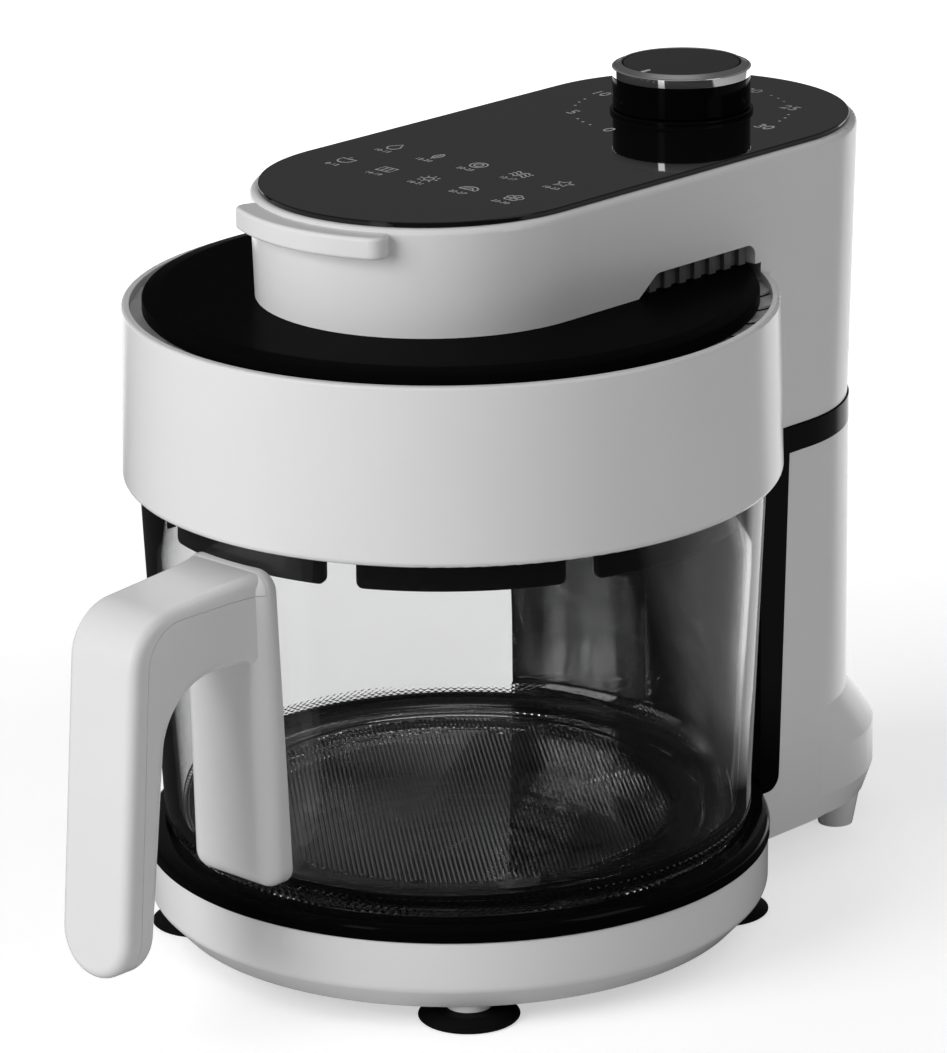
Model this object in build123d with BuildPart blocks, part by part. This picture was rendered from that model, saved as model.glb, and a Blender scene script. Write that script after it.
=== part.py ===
from build123d import *
from math import cos, radians, sin, sqrt
import os

os.makedirs("parts", exist_ok=True)

# Air fryer with a glass bowl. The bowl stands in a round base. A column behind it carries a head
# that tilts back: a drum over the bowl, and an arm over the drum that ends in the column.
# The front is -Y, the floor is Z = 0, and the origin lies under the middle of the whole outline.

# Drum of the head and the rim of the bowl under it
drum_radius = 115.5
drum_wall = 4.0
drum_draft = 1.3
drum_inner_radius = drum_radius - drum_wall
drum_top_radius = drum_radius - drum_draft
drum_height = 62.2
drum_clearance = 0.9
skirt_bottom_round = 2.4
skirt_top_round = 1.1

# Bowl
rim_clearance = 1.5
jar_draft = 6.0
jar_floor_height = 36.9
jar_bottom_thickness = 6.0
jar_wall = 4.0
jar_heel_radius = 10.0
jar_inner_heel_radius = 9.0
jar_rim_radius = 1.8
jar_height = 133.4
jar_top = jar_floor_height + jar_height
jar_top_radius = drum_inner_radius - rim_clearance
jar_floor_radius = jar_top_radius - jar_draft
jar_slope = jar_draft / jar_height
rim_cover = 1.5
drum_bottom = jar_top - rim_cover
drum_top = drum_bottom + drum_height

# Handle, as distances from the axis of the bowl
plate_standoff = 5.5
plate_rake = 2.0
handle_plate_half_width = 20.0
handle_plate_face = jar_top_radius + plate_standoff
handle_plate_low = handle_plate_face - plate_rake
handle_plate_rise = 9.6
handle_plate_bottom = jar_floor_height + handle_plate_rise
handle_setdown = 9.3
handle_top = jar_top - handle_setdown
plate_corner_radius = 7.0
plate_edge_radius = 6.6
plate_depth = 14.0
grip_half_width = 16.0
grip_drop = 6.6
grip_bottom = jar_floor_height - grip_drop
grip_edge_radius = 3.8
grip_corner_radius = 19.0
grip_inner_radius = 24.0
finger_depth = 37.9
finger_rake = 11.2
grip_depth_top = 15.5
grip_depth_low = 14.6
grip_inner_top = handle_plate_face + finger_depth
grip_inner_low = grip_inner_top + finger_rake
grip_outer_top = grip_inner_top + grip_depth_top
grip_outer_low = grip_inner_low + grip_depth_low
grip_rake = (grip_outer_low - grip_outer_top) / (handle_top - grip_bottom)
handle_reach = grip_outer_low - grip_edge_radius * grip_rake
bridge_height = 30.8
bridge_bottom = handle_top - bridge_height
bridge_inner_radius = 12.0
bridge_fall = 5.2
bridge_root = 12.0
bridge_root_half_width = 19.2
bridge_flare_length = 24.0
seam_gap = 0.15
cover_thickness = 7.6
seam_radius = 15.5
cover_depth_top = 6.9
cover_depth_low = 7.8
cover_start = handle_plate_low - 2.0
grip_seam_top = grip_outer_top - cover_depth_top
grip_seam_low = grip_outer_low - cover_depth_low
handle_screw_levels = (70.0, 100.0)
handle_screw_sink = 2.6
cover_skin = 3.2

# Round base
base_overhang = 0.6
base_radius = jar_top_radius + base_overhang
base_bottom = 7.0
base_chamfer_height = 9.0
base_chamfer_width = 8.5
base_fold_inset = 0.4
base_fold_height = 6.0
base_fold_rise = 1.0
base_top_inset = 0.3
base_ledge_height = 1.4
base_rim_width = 14.0
base_wall = 2.6
plate_thickness = 2.0
cover_boss_radius = 4.0
cover_counterbore = 1.4
cover_screw_x = 44.0
cover_screw_setback = 21.5
cover_screw_y = base_radius - base_chamfer_width - base_wall - cover_screw_setback
seat_thickness = 2.2
seat_lip_height = 7.4
seat_lip_width = 7.3
seat_lip_fall = 1.2
seat_lip_edge = 0.6
seat_lip_radius = base_radius - seat_lip_width
seat_overhang = 0.6
seat_shoulder_radius = 3.4
pad_radius = 8.0
pad_thickness = 0.7
pad_gap = 0.2
pad_circle = 72.0
seat_top = jar_floor_height - pad_gap - pad_thickness
base_top = seat_top - seat_thickness

# Column, as distances from the axis of the bowl
recess_clearance = 2.6
column_setback = 8.4
column_half_width = 60.6
column_bottom = 16.0
column_wall = 2.8
bowl_recess_radius = jar_top_radius + recess_clearance
column_back = bowl_recess_radius + column_setback
front_reach = 52.6
band_setdown = 0.6
band_height = 9.5
band_top = jar_top - band_setdown
band_bottom = band_top - band_height
band_overhang = 0.2
band_pocket_depth = 5.0
band_pocket_margin = 7.0
trim_reach = 9.1
trim_edge_low = bowl_recess_radius - trim_reach
trim_edge_slope = 0.043
trim_gap = 0.4
trim_bottom = base_top + trim_gap
trim_corner_radius = 6.0
trim_wall = 3.0
trim_flange_reach = 6.4
trim_seam = 0.1
fit_gap = 0.2
rear_block_reach = 15.8
rear_block_back = column_back + rear_block_reach
rear_block_top = 58.0
rear_block_shoulder = 40.0
rear_block_foot = 24.0
rear_block_tuck = 3.0
rear_block_inset = 1.2
rear_foot_x = 40.0
rear_foot_setback = 41.0
rear_foot_back = column_back + rear_foot_setback
rear_foot_top_radius = 9.4
rear_foot_radius = 6.4
inlet_height = 34.0
inlet_radius = 6.5
inlet_bore_radius = 3.6
inlet_flange = 2.6

# Place of the origin: under the middle of the whole outline
jar_y = (handle_reach - rear_block_back - column_half_width) / 2
column_y = jar_y + column_back
front_arc_limit = jar_y + bowl_recess_radius - front_reach
jar_axis = Axis((0, jar_y, 0), (0, 0, 1))
radial_plane = Plane.XZ.offset(-jar_y)
side_plane = Plane.YZ

# Chassis plate between base and column
chassis_half_width = 42.0
chassis_height = 18.6
chassis_thickness = 2.5
chassis_reach = 84.0
chassis_wing = 49.0
chassis_opening = 40.0
chassis_tail = 37.0
chassis_window_depth = 40.0
chassis_gap = 0.4

# Suction feet
foot_radius = 18.0
foot_setback = 44.6
foot_front_setback = 45.8
foot_circle_x = base_radius - foot_setback
foot_front_y = foot_front_setback - base_radius
foot_rear_y = base_radius - foot_setback
foot_neck_radius = 8.0
foot_socket_radius = 3.0
foot_stem_height = 2.9
foot_socket_depth = 4.0
foot_lip_width = 3.6
foot_lip_edge = 1.2
foot_rim_height = 1.0
foot_dome_reach = 0.78
foot_dome_drop = 0.9
foot_stud_clearance = 0.05
foot_stud_height = 3.4
foot_cup_depth = 2.0
foot_cup_middle = 1.4

# Arm and upper column
arm_front = 8.2
nose_y = jar_y - arm_front
head_gap = 0.4
head_bottom = band_top + head_gap
head_floor = 5.6
arm_taper = 2.8
arm_wall = 2.8
arm_low_half_width = column_half_width - 0.4
arm_top_half_width = arm_low_half_width + arm_taper
arm_inner_half_width = arm_low_half_width - arm_wall
arm_height = 102.3
arm_top = head_bottom + arm_height
arm_edge_radius = 2.2
blend_radius = 9.0
blend_inset = 0.1
blend_depth = 1.5
panel_inset = 2.9
panel_half_width = arm_top_half_width - panel_inset
panel_thickness = 1.9
panel_edge_radius = 0.4
tab_radius = 71.0
tab_half_angle = 30.5
tab_setdown = 9.0
tab_bottom = arm_top - tab_setdown
tab_height = 7.7
tab_corner_radius = 5.0
tab_edge_radius = 1.3

# Lid of the drum, louvre ring and air outlets
disc_rise = 3.6
disc_top = drum_top + disc_rise
disc_slope_drop = 1.0
disc_edge_height = disc_top - disc_slope_drop
disc_edge_round = 0.7
disc_thickness = 5.2
louvre_width = 4.4
disc_slope_width = 6.1
disc_radius = drum_inner_radius - louvre_width
disc_plateau_radius = disc_radius - disc_slope_width
louvre_thickness = 2.2
louvre_seat = 7.0
slot_count = 40
slot_width = 1.3
slot_margin = 0.4
slot_lean = 14.0
vent_setback = 17.5
vent_length = 62.6
vent_rear = disc_radius - vent_setback
vent_front = vent_rear - vent_length
vent_rise = 7.4
vent_top = disc_top + vent_rise
vent_slant = 11.0
vent_round = 4.5
vent_drop = 1.2
vent_rib_count = 8
vent_rib_width = 3.4
vent_rib_depth = 1.8
vent_clearance = 0.3
vent_strip_margin = 2.0

# Hinge
hinge_setback = 54.4
hinge_back = column_back + hinge_setback
hinge_rise = 0.3
hinge_height = band_top + hinge_rise
knuckle_radius = 5.6
pin_radius = 2.0
pin_clearance = 0.05
head_knuckle_half = 11.2
knuckle_gap = 0.5
hinge_half_width = 20.0
notch_half_width = 26.2
leaf_thickness = 2.0
leaf_length = 25.4
leaf_tongue_start = 14.0
leaf_tongue_end = 2.0
leaf_screw_x = 14.0
leaf_screw_rows = (4.5, 13.5)
recess_gap = 0.7
screw_radius = 1.5
screw_clearance = 0.1
screw_head_radius = 3.1
screw_head_height = 1.6
screw_tip = 1.0
screw_overrun = 2.0

# Frame over the bowl, heater, motor and fans
shaft_radius = 3.0
shaft_clearance = 0.05
shaft_bore_margin = 3.0
frame_rise = 1.9
frame_bottom = jar_top + frame_rise
frame_thickness = 2.4
frame_ledge = 3.2
seal_gap = 0.3
seal_outer_margin = 0.6
seal_inner_margin = 0.8
guard_clearance = 1.7
guard_thickness = 2.6
guard_outer_radius = jar_top_radius - jar_wall - guard_clearance
guard_inner_radius = guard_outer_radius - guard_thickness
guard_depth = 14.6
guard_bottom = frame_bottom - guard_depth
guard_gap_height = 10.0
guard_gap_top = guard_bottom + guard_gap_height
guard_gap_count = 8
guard_gap_width = 11.5
guard_gap_depth = 20.0
grille_thickness = 1.4
grille_gap = 0.2
grille_rim = 11.7
grille_ring_count = 5
grille_ring_share = 0.25
grille_spoke_width = 4.0
grille_pitch = (guard_inner_radius - grille_rim) / grille_ring_count
reflector_inset = 1.2
reflector_radius = guard_inner_radius - reflector_inset
reflector_wall = 1.2
reflector_lip = 1.4
reflector_draft = 8.0
reflector_height = 35.8
reflector_top = frame_bottom + reflector_height
element_radius = 62.0
element_pitch = 12.0
element_tube_radius = 3.3
element_rise = 17.8
element_height = frame_bottom + element_rise
element_tail = 3.5
fan_radius = 48.0
fan_rise = 7.8
fan_bottom = frame_bottom + fan_rise
fan_height = 20.0
fan_blades = 8
cooling_fan_radius = 62.0
cooling_fan_rise = 4.5
cooling_fan_bottom = reflector_top + cooling_fan_rise
cooling_fan_height = 10.5
cooling_blades = 12
hub_radius = 9.0
blade_bow = 7.0
blade_overlap = 1.0
blade_bow_place = 0.55
blade_thickness = 1.2
motor_radius = 27.0
motor_height = 24.0
motor_lug_radius = 6.0
motor_lug_reach = 3.0
motor_lug_thickness = 2.4
motor_boss_radius = 9.0
motor_boss_height = 4.0
shaft_overhang_low = 2.0
shaft_overhang_high = 5.0

# Knob and timer
knob_radius = 24.8
knob_wall = 2.2
knob_roof = 2.4
knob_hub_wall = 3.0
knob_socket_roof = 1.5
knob_ring_radius = 25.0
knob_insert_radius = 21.4
knob_insert_gap = 0.15
knob_insert_depth = 2.0
knob_insert_sink = 0.2
knob_bevel_edge = 0.1
knob_gap = 0.3
knob_height = 11.6
knob_band_height = 3.2
knob_bevel_height = 1.4
pointer_length = 5.0
pointer_width = 1.7
pointer_gap = 0.3
pointer_sink = 0.3
dial_ring_radius = 25.8
dial_ring_thickness = 1.6
dial_ring_round = 0.7
panel_bore_radius = 3.6
timer_size = 44.0
timer_height = 22.0
timer_corner_radius = 4.0
timer_lug_length = 9.0
timer_lug_width = 16.0
timer_floor = 4.0
timer_drop = 1.5
spindle_gap = 0.2

arm_mid_y = (nose_y + column_y) / 2
arm_centres = column_y - nose_y
panel_top = arm_top + panel_thickness
knob_bottom = panel_top + dial_ring_thickness + knob_gap
knob_ring_bottom = knob_bottom + knob_height
knob_ring_edge = knob_ring_bottom + knob_band_height
knob_top = knob_ring_edge + knob_bevel_height
timer_top = arm_top - timer_drop


# Base pan: a shallow white bowl turned upside down, open below, with a chamfered lower edge.
with BuildPart() as base_shell:
    with BuildSketch(radial_plane):
        with BuildLine():
            Polyline(
                (base_radius - base_chamfer_width, base_bottom),
                (base_radius - base_fold_inset, base_bottom + base_chamfer_height),
                (base_radius, base_bottom + base_chamfer_height + base_fold_height),
                (base_radius - base_top_inset, base_top),
                (base_radius - base_rim_width, base_top),
                (base_radius - base_rim_width, base_top - base_wall),
                (base_radius - base_wall, base_top - base_wall),
                (base_radius - base_wall, base_bottom + base_chamfer_height + base_fold_rise),
                (base_radius - base_chamfer_width - base_wall, base_bottom + base_ledge_height),
                (base_radius - base_chamfer_width - base_wall, base_bottom),
                close=True,
            )
        make_face()
    revolve(axis=jar_axis)
    # Window in the rear wall for the chassis plate.
    with BuildSketch(Plane.XY.offset(chassis_height - chassis_gap)):
        with Locations((0, jar_y + base_radius)):
            Rectangle(2 * (chassis_half_width + chassis_gap), chassis_window_depth)
    extrude(amount=chassis_thickness + 2 * chassis_gap, mode=Mode.SUBTRACT)
base_shell.part.label = "base_shell"
export_step(base_shell.part, "parts/base_shell.step")

# Bottom cover: a round plate with four inner bosses for its screws.
foot_points = [
    (side * foot_circle_x, jar_y + place)
    for side in (-1, 1)
    for place in (foot_front_y, foot_rear_y)
]
screw_points = [
    (side * cover_screw_x, jar_y + place)
    for side in (-1, 1)
    for place in (-cover_screw_y, cover_screw_y)
]
cover_radius = base_radius - base_chamfer_width - base_wall
with BuildPart() as base_plate:
    with BuildSketch(Plane.XY.offset(base_bottom)):
        with Locations((0, jar_y)):
            Circle(cover_radius)
    extrude(amount=plate_thickness)
    with BuildSketch(Plane.XY.offset(base_bottom + plate_thickness)):
        with Locations(*screw_points):
            Circle(cover_boss_radius)
    extrude(amount=chassis_height - base_bottom - plate_thickness)
    with BuildSketch(Plane.XY.offset(base_bottom)):
        with Locations(*foot_points):
            Circle(foot_socket_radius)
    extrude(amount=foot_socket_depth - foot_stem_height, mode=Mode.SUBTRACT)
    with BuildSketch(Plane.XY.offset(base_bottom)):
        with Locations(*screw_points):
            Circle(screw_radius + screw_clearance)
    extrude(amount=chassis_height - base_bottom, mode=Mode.SUBTRACT)
    with BuildSketch(Plane.XY.offset(base_bottom)):
        with Locations(*screw_points):
            Circle(screw_head_radius + screw_clearance)
    extrude(amount=cover_counterbore, mode=Mode.SUBTRACT)
base_plate.part.label = "base_plate"
export_step(base_plate.part, "parts/base_plate.step")

# White stems under the cover, with the sockets of the suction feet.
with BuildPart() as foot_stems:
    with BuildSketch(Plane.XY.offset(base_bottom - foot_stem_height)):
        with Locations(*foot_points):
            Circle(foot_neck_radius)
            Circle(foot_socket_radius, mode=Mode.SUBTRACT)
    extrude(amount=foot_stem_height)
foot_stems.part.label = "foot_stems"
export_step(foot_stems.part, "parts/foot_stems.step")

# Cover screws, driven up into the chassis plate.
with BuildPart() as base_screws:
    with BuildSketch(Plane.XY.offset(base_bottom + screw_clearance)):
        with Locations(*screw_points):
            Circle(screw_head_radius - screw_clearance)
    extrude(amount=cover_counterbore - screw_clearance)
    with BuildSketch(Plane.XY.offset(base_bottom + screw_clearance)):
        with Locations(*screw_points):
            Circle(screw_radius)
    extrude(amount=chassis_height + chassis_thickness - base_bottom - screw_clearance)
base_screws.part.label = "base_screws"
export_step(base_screws.part, "parts/base_screws.step")

# Chassis plate: ties the base pan to the foot of the column.
with BuildPart() as chassis_plate:
    with BuildSketch(Plane.XY.offset(chassis_height)):
        with Locations((0, (jar_y + column_y + chassis_tail) / 2)):
            Rectangle(2 * chassis_half_width, column_y + chassis_tail - jar_y)
        with Locations((0, jar_y)):
            Rectangle(2 * chassis_wing, 2 * chassis_reach)
            Circle(chassis_opening, mode=Mode.SUBTRACT)
        with Locations(*screw_points):
            Circle(screw_radius, mode=Mode.SUBTRACT)
    extrude(amount=chassis_thickness)
chassis_plate.part.label = "chassis_plate"
export_step(chassis_plate.part, "parts/chassis_plate.step")

# Bowl seat: black tray with a raised lip round the bowl's heel.
with BuildPart() as seat_tray:
    with BuildSketch(radial_plane) as seat_profile:
        with BuildLine():
            Polyline(
                (0, base_top),
                (base_radius + seat_overhang, base_top),
                (base_radius + seat_overhang, base_top + seat_lip_height - seat_lip_fall),
                (seat_lip_radius + seat_lip_fall, base_top + seat_lip_height),
                (seat_lip_radius, base_top + seat_lip_height - seat_lip_edge),
                (seat_lip_radius - seat_thickness, seat_top),
                (0, seat_top),
                close=True,
            )
        make_face()
        shoulder = seat_profile.vertices().group_by(Axis.X)[-1].sort_by(Axis.Y)[-1]
        fillet(shoulder, seat_shoulder_radius)
    revolve(axis=jar_axis)
seat_tray.part.label = "seat_tray"
export_step(seat_tray.part, "parts/seat_tray.step")

# Three silicone pads under the bowl.
with BuildPart() as seat_pads:
    with BuildSketch(Plane.XY.offset(seat_top)):
        with Locations((0, jar_y)):
            with PolarLocations(pad_circle, 3, start_angle=90):
                Circle(pad_radius)
    extrude(amount=pad_thickness)
seat_pads.part.label = "seat_pads"
export_step(seat_pads.part, "parts/seat_pads.step")

# Suction feet: a wide soft skirt, a dome and a stud in the stem above.
for index, (foot_x, foot_y) in enumerate(foot_points, start=1):
    foot_plane = Plane.XZ.offset(-foot_y)
    neck_height = base_bottom - foot_stem_height
    stud_radius = foot_socket_radius - foot_stud_clearance
    with BuildPart() as suction_foot:
        with BuildSketch(foot_plane):
            with BuildLine():
                outer_x = foot_x + foot_radius
                sole = Line((outer_x - foot_lip_width, 0), (outer_x - foot_lip_edge, 0))
                rim = Line(sole @ 1, (outer_x, foot_rim_height))
                ThreePointArc(
                    rim @ 1,
                    (foot_x + foot_dome_reach * foot_radius, neck_height - foot_dome_drop),
                    (foot_x + foot_neck_radius, neck_height),
                )
                Polyline(
                    (foot_x + foot_neck_radius, neck_height),
                    (foot_x + stud_radius, neck_height),
                    (foot_x + stud_radius, neck_height + foot_stud_height),
                    (foot_x, neck_height + foot_stud_height),
                    (foot_x, foot_cup_depth),
                )
                ThreePointArc((foot_x, foot_cup_depth), (foot_x + foot_radius / 2, foot_cup_middle), sole @ 0)
            make_face()
        revolve(axis=Axis((foot_x, foot_y, 0), (0, 0, 1)))
    suction_foot.part.label = f"suction_foot_{index}"
    export_step(suction_foot.part, f"parts/suction_foot_{index}.step")

# Lower column: white U-shaped shell, its front edges raked to follow the bowl.
trim_edge_top = trim_edge_low + trim_edge_slope * band_bottom
with BuildPart() as column_shell:
    with BuildSketch(Plane.XY.offset(column_bottom)):
        with Locations((0, column_y)):
            Circle(column_half_width)
        with Locations((0, (column_y + front_arc_limit) / 2)):
            Rectangle(2 * column_half_width, column_y - front_arc_limit)
    extrude(amount=band_bottom - column_bottom)
    # Block at the foot that reaches further back, with a sloping top.
    with BuildSketch(Plane.XY.offset(rear_block_foot)):
        with Locations((0, jar_y + rear_block_back)):
            Circle(column_half_width)
    extrude(amount=rear_block_shoulder - rear_block_foot)
    with BuildSketch(Plane.XY.offset(rear_block_shoulder)):
        with Locations((0, jar_y + rear_block_back)):
            Circle(column_half_width)
    with BuildSketch(Plane.XY.offset(rear_block_top)):
        with Locations((0, column_y)):
            Circle(column_half_width)
    loft()
    with BuildSketch(Plane.XY.offset(rear_block_foot)):
        with Locations((0, jar_y + rear_block_back)):
            Circle(column_half_width)
    with BuildSketch(Plane.XY.offset(column_bottom)):
        with Locations((0, jar_y + rear_block_back - rear_block_tuck)):
            Circle(column_half_width - rear_block_inset)
    loft()
    # Hollow inside, open below and above.
    with BuildSketch(Plane.XY.offset(column_bottom)):
        with Locations((0, column_y)):
            Circle(column_half_width - column_wall)
        with Locations((0, (column_y + front_arc_limit) / 2)):
            Rectangle(2 * (column_half_width - column_wall), column_y - front_arc_limit)
    extrude(amount=band_bottom - column_bottom, mode=Mode.SUBTRACT)
    with BuildSketch(Plane.XY.offset(column_bottom)):
        with Locations((0, jar_y + rear_block_back - rear_block_inset)):
            Circle(column_half_width - column_wall - rear_block_inset)
    extrude(amount=rear_block_shoulder - column_bottom - column_wall, mode=Mode.SUBTRACT)
    # Raked front edge, and the round recess for base pan and seat.
    with BuildSketch(side_plane) as front_cut:
        with BuildLine():
            Polyline(
                (jar_y, trim_bottom),
                (jar_y + trim_edge_low + trim_edge_slope * trim_bottom, trim_bottom),
                (jar_y + trim_edge_top, band_bottom),
                (jar_y, band_bottom),
                close=True,
            )
        make_face()
        fillet(front_cut.vertices().group_by(Axis.Y)[0].sort_by(Axis.X)[-1], trim_corner_radius)
    extrude(amount=2 * column_half_width, both=True, mode=Mode.SUBTRACT)
    with BuildSketch(Plane.XY.offset(column_bottom)):
        with Locations((0, jar_y)):
            Circle(base_radius + seat_overhang + fit_gap)
    extrude(amount=trim_bottom - column_bottom, mode=Mode.SUBTRACT)
    # Hole for the mains inlet in the back wall.
    with BuildSketch(Plane.XZ.offset(-jar_y - rear_block_back)):
        with Locations((0, inlet_height)):
            Circle(inlet_radius)
    extrude(amount=-2 * column_half_width, mode=Mode.SUBTRACT)
column_shell.part.label = "column_shell"
export_step(column_shell.part, "parts/column_shell.step")

# Floor of the column.
with BuildPart() as column_floor:
    with BuildSketch(Plane.XY.offset(column_bottom)):
        with Locations((0, jar_y + rear_block_back - rear_block_inset)):
            Circle(column_half_width - column_wall - rear_block_inset - fit_gap)
        with Locations((0, column_y)):
            Circle(column_half_width - column_wall - fit_gap)
        with Locations((0, (column_y + front_arc_limit) / 2)):
            Rectangle(2 * (column_half_width - column_wall - fit_gap), column_y - front_arc_limit)
        with Locations((0, jar_y)):
            Circle(base_radius + seat_overhang + 2 * fit_gap, mode=Mode.SUBTRACT)
    extrude(amount=chassis_height - column_bottom)
column_floor.part.label = "column_floor"
export_step(column_floor.part, "parts/column_floor.step")

# Two short tapered rear feet under that floor.
for side, name in ((1, "right"), (-1, "left")):
    foot_place = (side * rear_foot_x, jar_y + rear_foot_back)
    with BuildPart() as rear_foot:
        with BuildSketch(Plane.XY) as sole:
            with Locations(foot_place):
                Circle(rear_foot_radius)
        with BuildSketch(Plane.XY.offset(column_bottom)) as root:
            with Locations(foot_place):
                Circle(rear_foot_top_radius)
        loft(sections=[sole.sketch, root.sketch])
    rear_foot.part.label = f"rear_foot_{name}"
    export_step(rear_foot.part, f"parts/rear_foot_{name}.step")

# Black front trim of the column: concave towards the bowl, wrapped round onto both sides.
trim_floor = trim_bottom + trim_seam
with BuildPart() as column_trim:
    with BuildSketch(side_plane) as cheek_profile:
        with BuildLine():
            Polyline(
                (front_arc_limit, trim_floor),
                (jar_y + trim_edge_low + trim_edge_slope * trim_bottom - trim_seam, trim_floor),
                (jar_y + trim_edge_top - trim_seam, band_bottom),
                (front_arc_limit, band_bottom),
                close=True,
            )
        make_face()
        lower_corner = cheek_profile.vertices().group_by(Axis.Y)[0].sort_by(Axis.X)[-1]
        fillet(lower_corner, trim_corner_radius)
    extrude(amount=column_half_width, both=True)
    inner_half_width = column_half_width - column_wall - fit_gap
    trim_back = jar_y + bowl_recess_radius + trim_flange_reach
    with BuildSketch(Plane.XY.offset(trim_floor)):
        with Locations((0, (front_arc_limit + trim_back) / 2)):
            Rectangle(2 * inner_half_width, trim_back - front_arc_limit)
    extrude(amount=band_bottom - trim_floor)
    with BuildSketch(Plane.XY.offset(trim_bottom + trim_wall)):
        with Locations((0, jar_y + bowl_recess_radius)):
            Rectangle(2 * (inner_half_width - trim_wall), bowl_recess_radius)
        with Locations((0, jar_y)):
            Circle(bowl_recess_radius + trim_wall, mode=Mode.SUBTRACT)
    extrude(amount=band_bottom - trim_bottom, mode=Mode.SUBTRACT)
    with BuildSketch(Plane.XY.offset(trim_bottom)):
        with Locations((0, jar_y)):
            Circle(bowl_recess_radius)
    extrude(amount=band_bottom - trim_bottom, mode=Mode.SUBTRACT)
column_trim.part.label = "column_trim"
export_step(column_trim.part, "parts/column_trim.step")

# Black band that closes the column, with the recess for the hinge at its back.
knuckle_space = knuckle_radius + recess_gap
hinge_y = jar_y + hinge_back
leaf_front = hinge_y - leaf_length
leaf_points = [(side * leaf_screw_x, leaf_front + row) for side in (-1, 1) for row in leaf_screw_rows]
band_step = drum_bottom - fit_gap - skirt_bottom_round / 8
hinge_plane = Plane.YZ.offset(-notch_half_width)
pocket_front = jar_y + bowl_recess_radius + band_pocket_margin
pocket_back = leaf_front - band_pocket_margin / 2
with BuildPart() as column_band:
    with BuildSketch(Plane.XY.offset(band_bottom)):
        with Locations((0, column_y)):
            Circle(column_half_width + band_overhang)
        with Locations((0, (column_y + front_arc_limit) / 2)):
            Rectangle(2 * (column_half_width + band_overhang), column_y - front_arc_limit)
        with Locations((0, jar_y)):
            Circle(bowl_recess_radius, mode=Mode.SUBTRACT)
    extrude(amount=band_top - band_bottom)
    with BuildSketch(Plane.XY.offset(band_step)):
        with Locations((0, jar_y)):
            Circle(drum_radius + drum_clearance)
    extrude(amount=band_top - band_step, mode=Mode.SUBTRACT)
    with BuildSketch(Plane.XY.offset(band_bottom)):
        with Locations((0, (pocket_front + pocket_back) / 2)):
            Rectangle(2 * (column_half_width - band_pocket_margin), pocket_back - pocket_front)
    extrude(amount=band_pocket_depth, mode=Mode.SUBTRACT)
    with BuildSketch(hinge_plane):
        with Locations((hinge_y, hinge_height)):
            Circle(knuckle_space)
        with Locations((hinge_y + column_half_width / 2, hinge_height)):
            Rectangle(column_half_width, 2 * knuckle_space)
    extrude(amount=2 * notch_half_width, mode=Mode.SUBTRACT)
    with BuildSketch(Plane.XY.offset(band_top - leaf_thickness)):
        with Locations((0, (leaf_front + hinge_y) / 2)):
            Rectangle(2 * (hinge_half_width + fit_gap), hinge_y - leaf_front + 2 * fit_gap)
    extrude(amount=leaf_thickness, mode=Mode.SUBTRACT)
    with BuildSketch(Plane.XY.offset(band_bottom)):
        with Locations(*leaf_points):
            Circle(screw_radius)
    extrude(amount=band_top - band_bottom, mode=Mode.SUBTRACT)
column_band.part.label = "column_band"
export_step(column_band.part, "parts/column_band.step")

# Hinge: two steel leaves, flush in band and head, round one pin.
tongue_middle = hinge_y - (leaf_tongue_start + leaf_tongue_end) / 2
tongue_length = leaf_tongue_start - leaf_tongue_end
with BuildPart() as hinge_leaf_base:
    with BuildSketch(Plane.XY.offset(band_top - leaf_thickness)):
        with Locations((0, (leaf_front + hinge_y - knuckle_space) / 2)):
            Rectangle(2 * hinge_half_width, hinge_y - knuckle_space - leaf_front)
        for side in (-1, 1):
            with Locations((side * (hinge_half_width + head_knuckle_half + knuckle_gap) / 2, tongue_middle)):
                Rectangle(hinge_half_width - head_knuckle_half - knuckle_gap, tongue_length)
    extrude(amount=leaf_thickness)
    for side in (-1, 1):
        with BuildSketch(Plane.YZ.offset(side * (head_knuckle_half + knuckle_gap))):
            with Locations((hinge_y, hinge_height)):
                Circle(knuckle_radius)
        extrude(amount=side * (hinge_half_width - head_knuckle_half - knuckle_gap))
    with BuildSketch(Plane.YZ.offset(-hinge_half_width)):
        with Locations((hinge_y, hinge_height)):
            Circle(pin_radius)
    extrude(amount=2 * hinge_half_width, mode=Mode.SUBTRACT)
    with Locations(*[(x, y, band_top) for x, y in leaf_points]):
        CounterSinkHole(radius=screw_radius, counter_sink_radius=screw_head_radius, depth=leaf_thickness)
hinge_leaf_base.part.label = "hinge_leaf_base"
export_step(hinge_leaf_base.part, "parts/hinge_leaf_base.step")

head_leaf_bottom = head_bottom + fit_gap
with BuildPart() as hinge_leaf_head:
    with BuildSketch(Plane.XY.offset(head_leaf_bottom)):
        with Locations((0, (leaf_front + hinge_y - knuckle_space) / 2)):
            Rectangle(2 * hinge_half_width, hinge_y - knuckle_space - leaf_front)
        with Locations((0, tongue_middle)):
            Rectangle(2 * head_knuckle_half, tongue_length)
    extrude(amount=leaf_thickness)
    with BuildSketch(Plane.YZ.offset(-head_knuckle_half)):
        with Locations((hinge_y, hinge_height)):
            Circle(knuckle_radius)
    extrude(amount=2 * head_knuckle_half)
    with BuildSketch(Plane.YZ.offset(-head_knuckle_half)):
        with Locations((hinge_y, hinge_height)):
            Circle(pin_radius + pin_clearance)
    extrude(amount=2 * head_knuckle_half, mode=Mode.SUBTRACT)
    with Locations(*[Location((x, y, head_leaf_bottom), (180, 0, 0)) for x, y in leaf_points]):
        CounterSinkHole(radius=screw_radius, counter_sink_radius=screw_head_radius, depth=leaf_thickness)
hinge_leaf_head.part.label = "hinge_leaf_head"
export_step(hinge_leaf_head.part, "parts/hinge_leaf_head.step")

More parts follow.
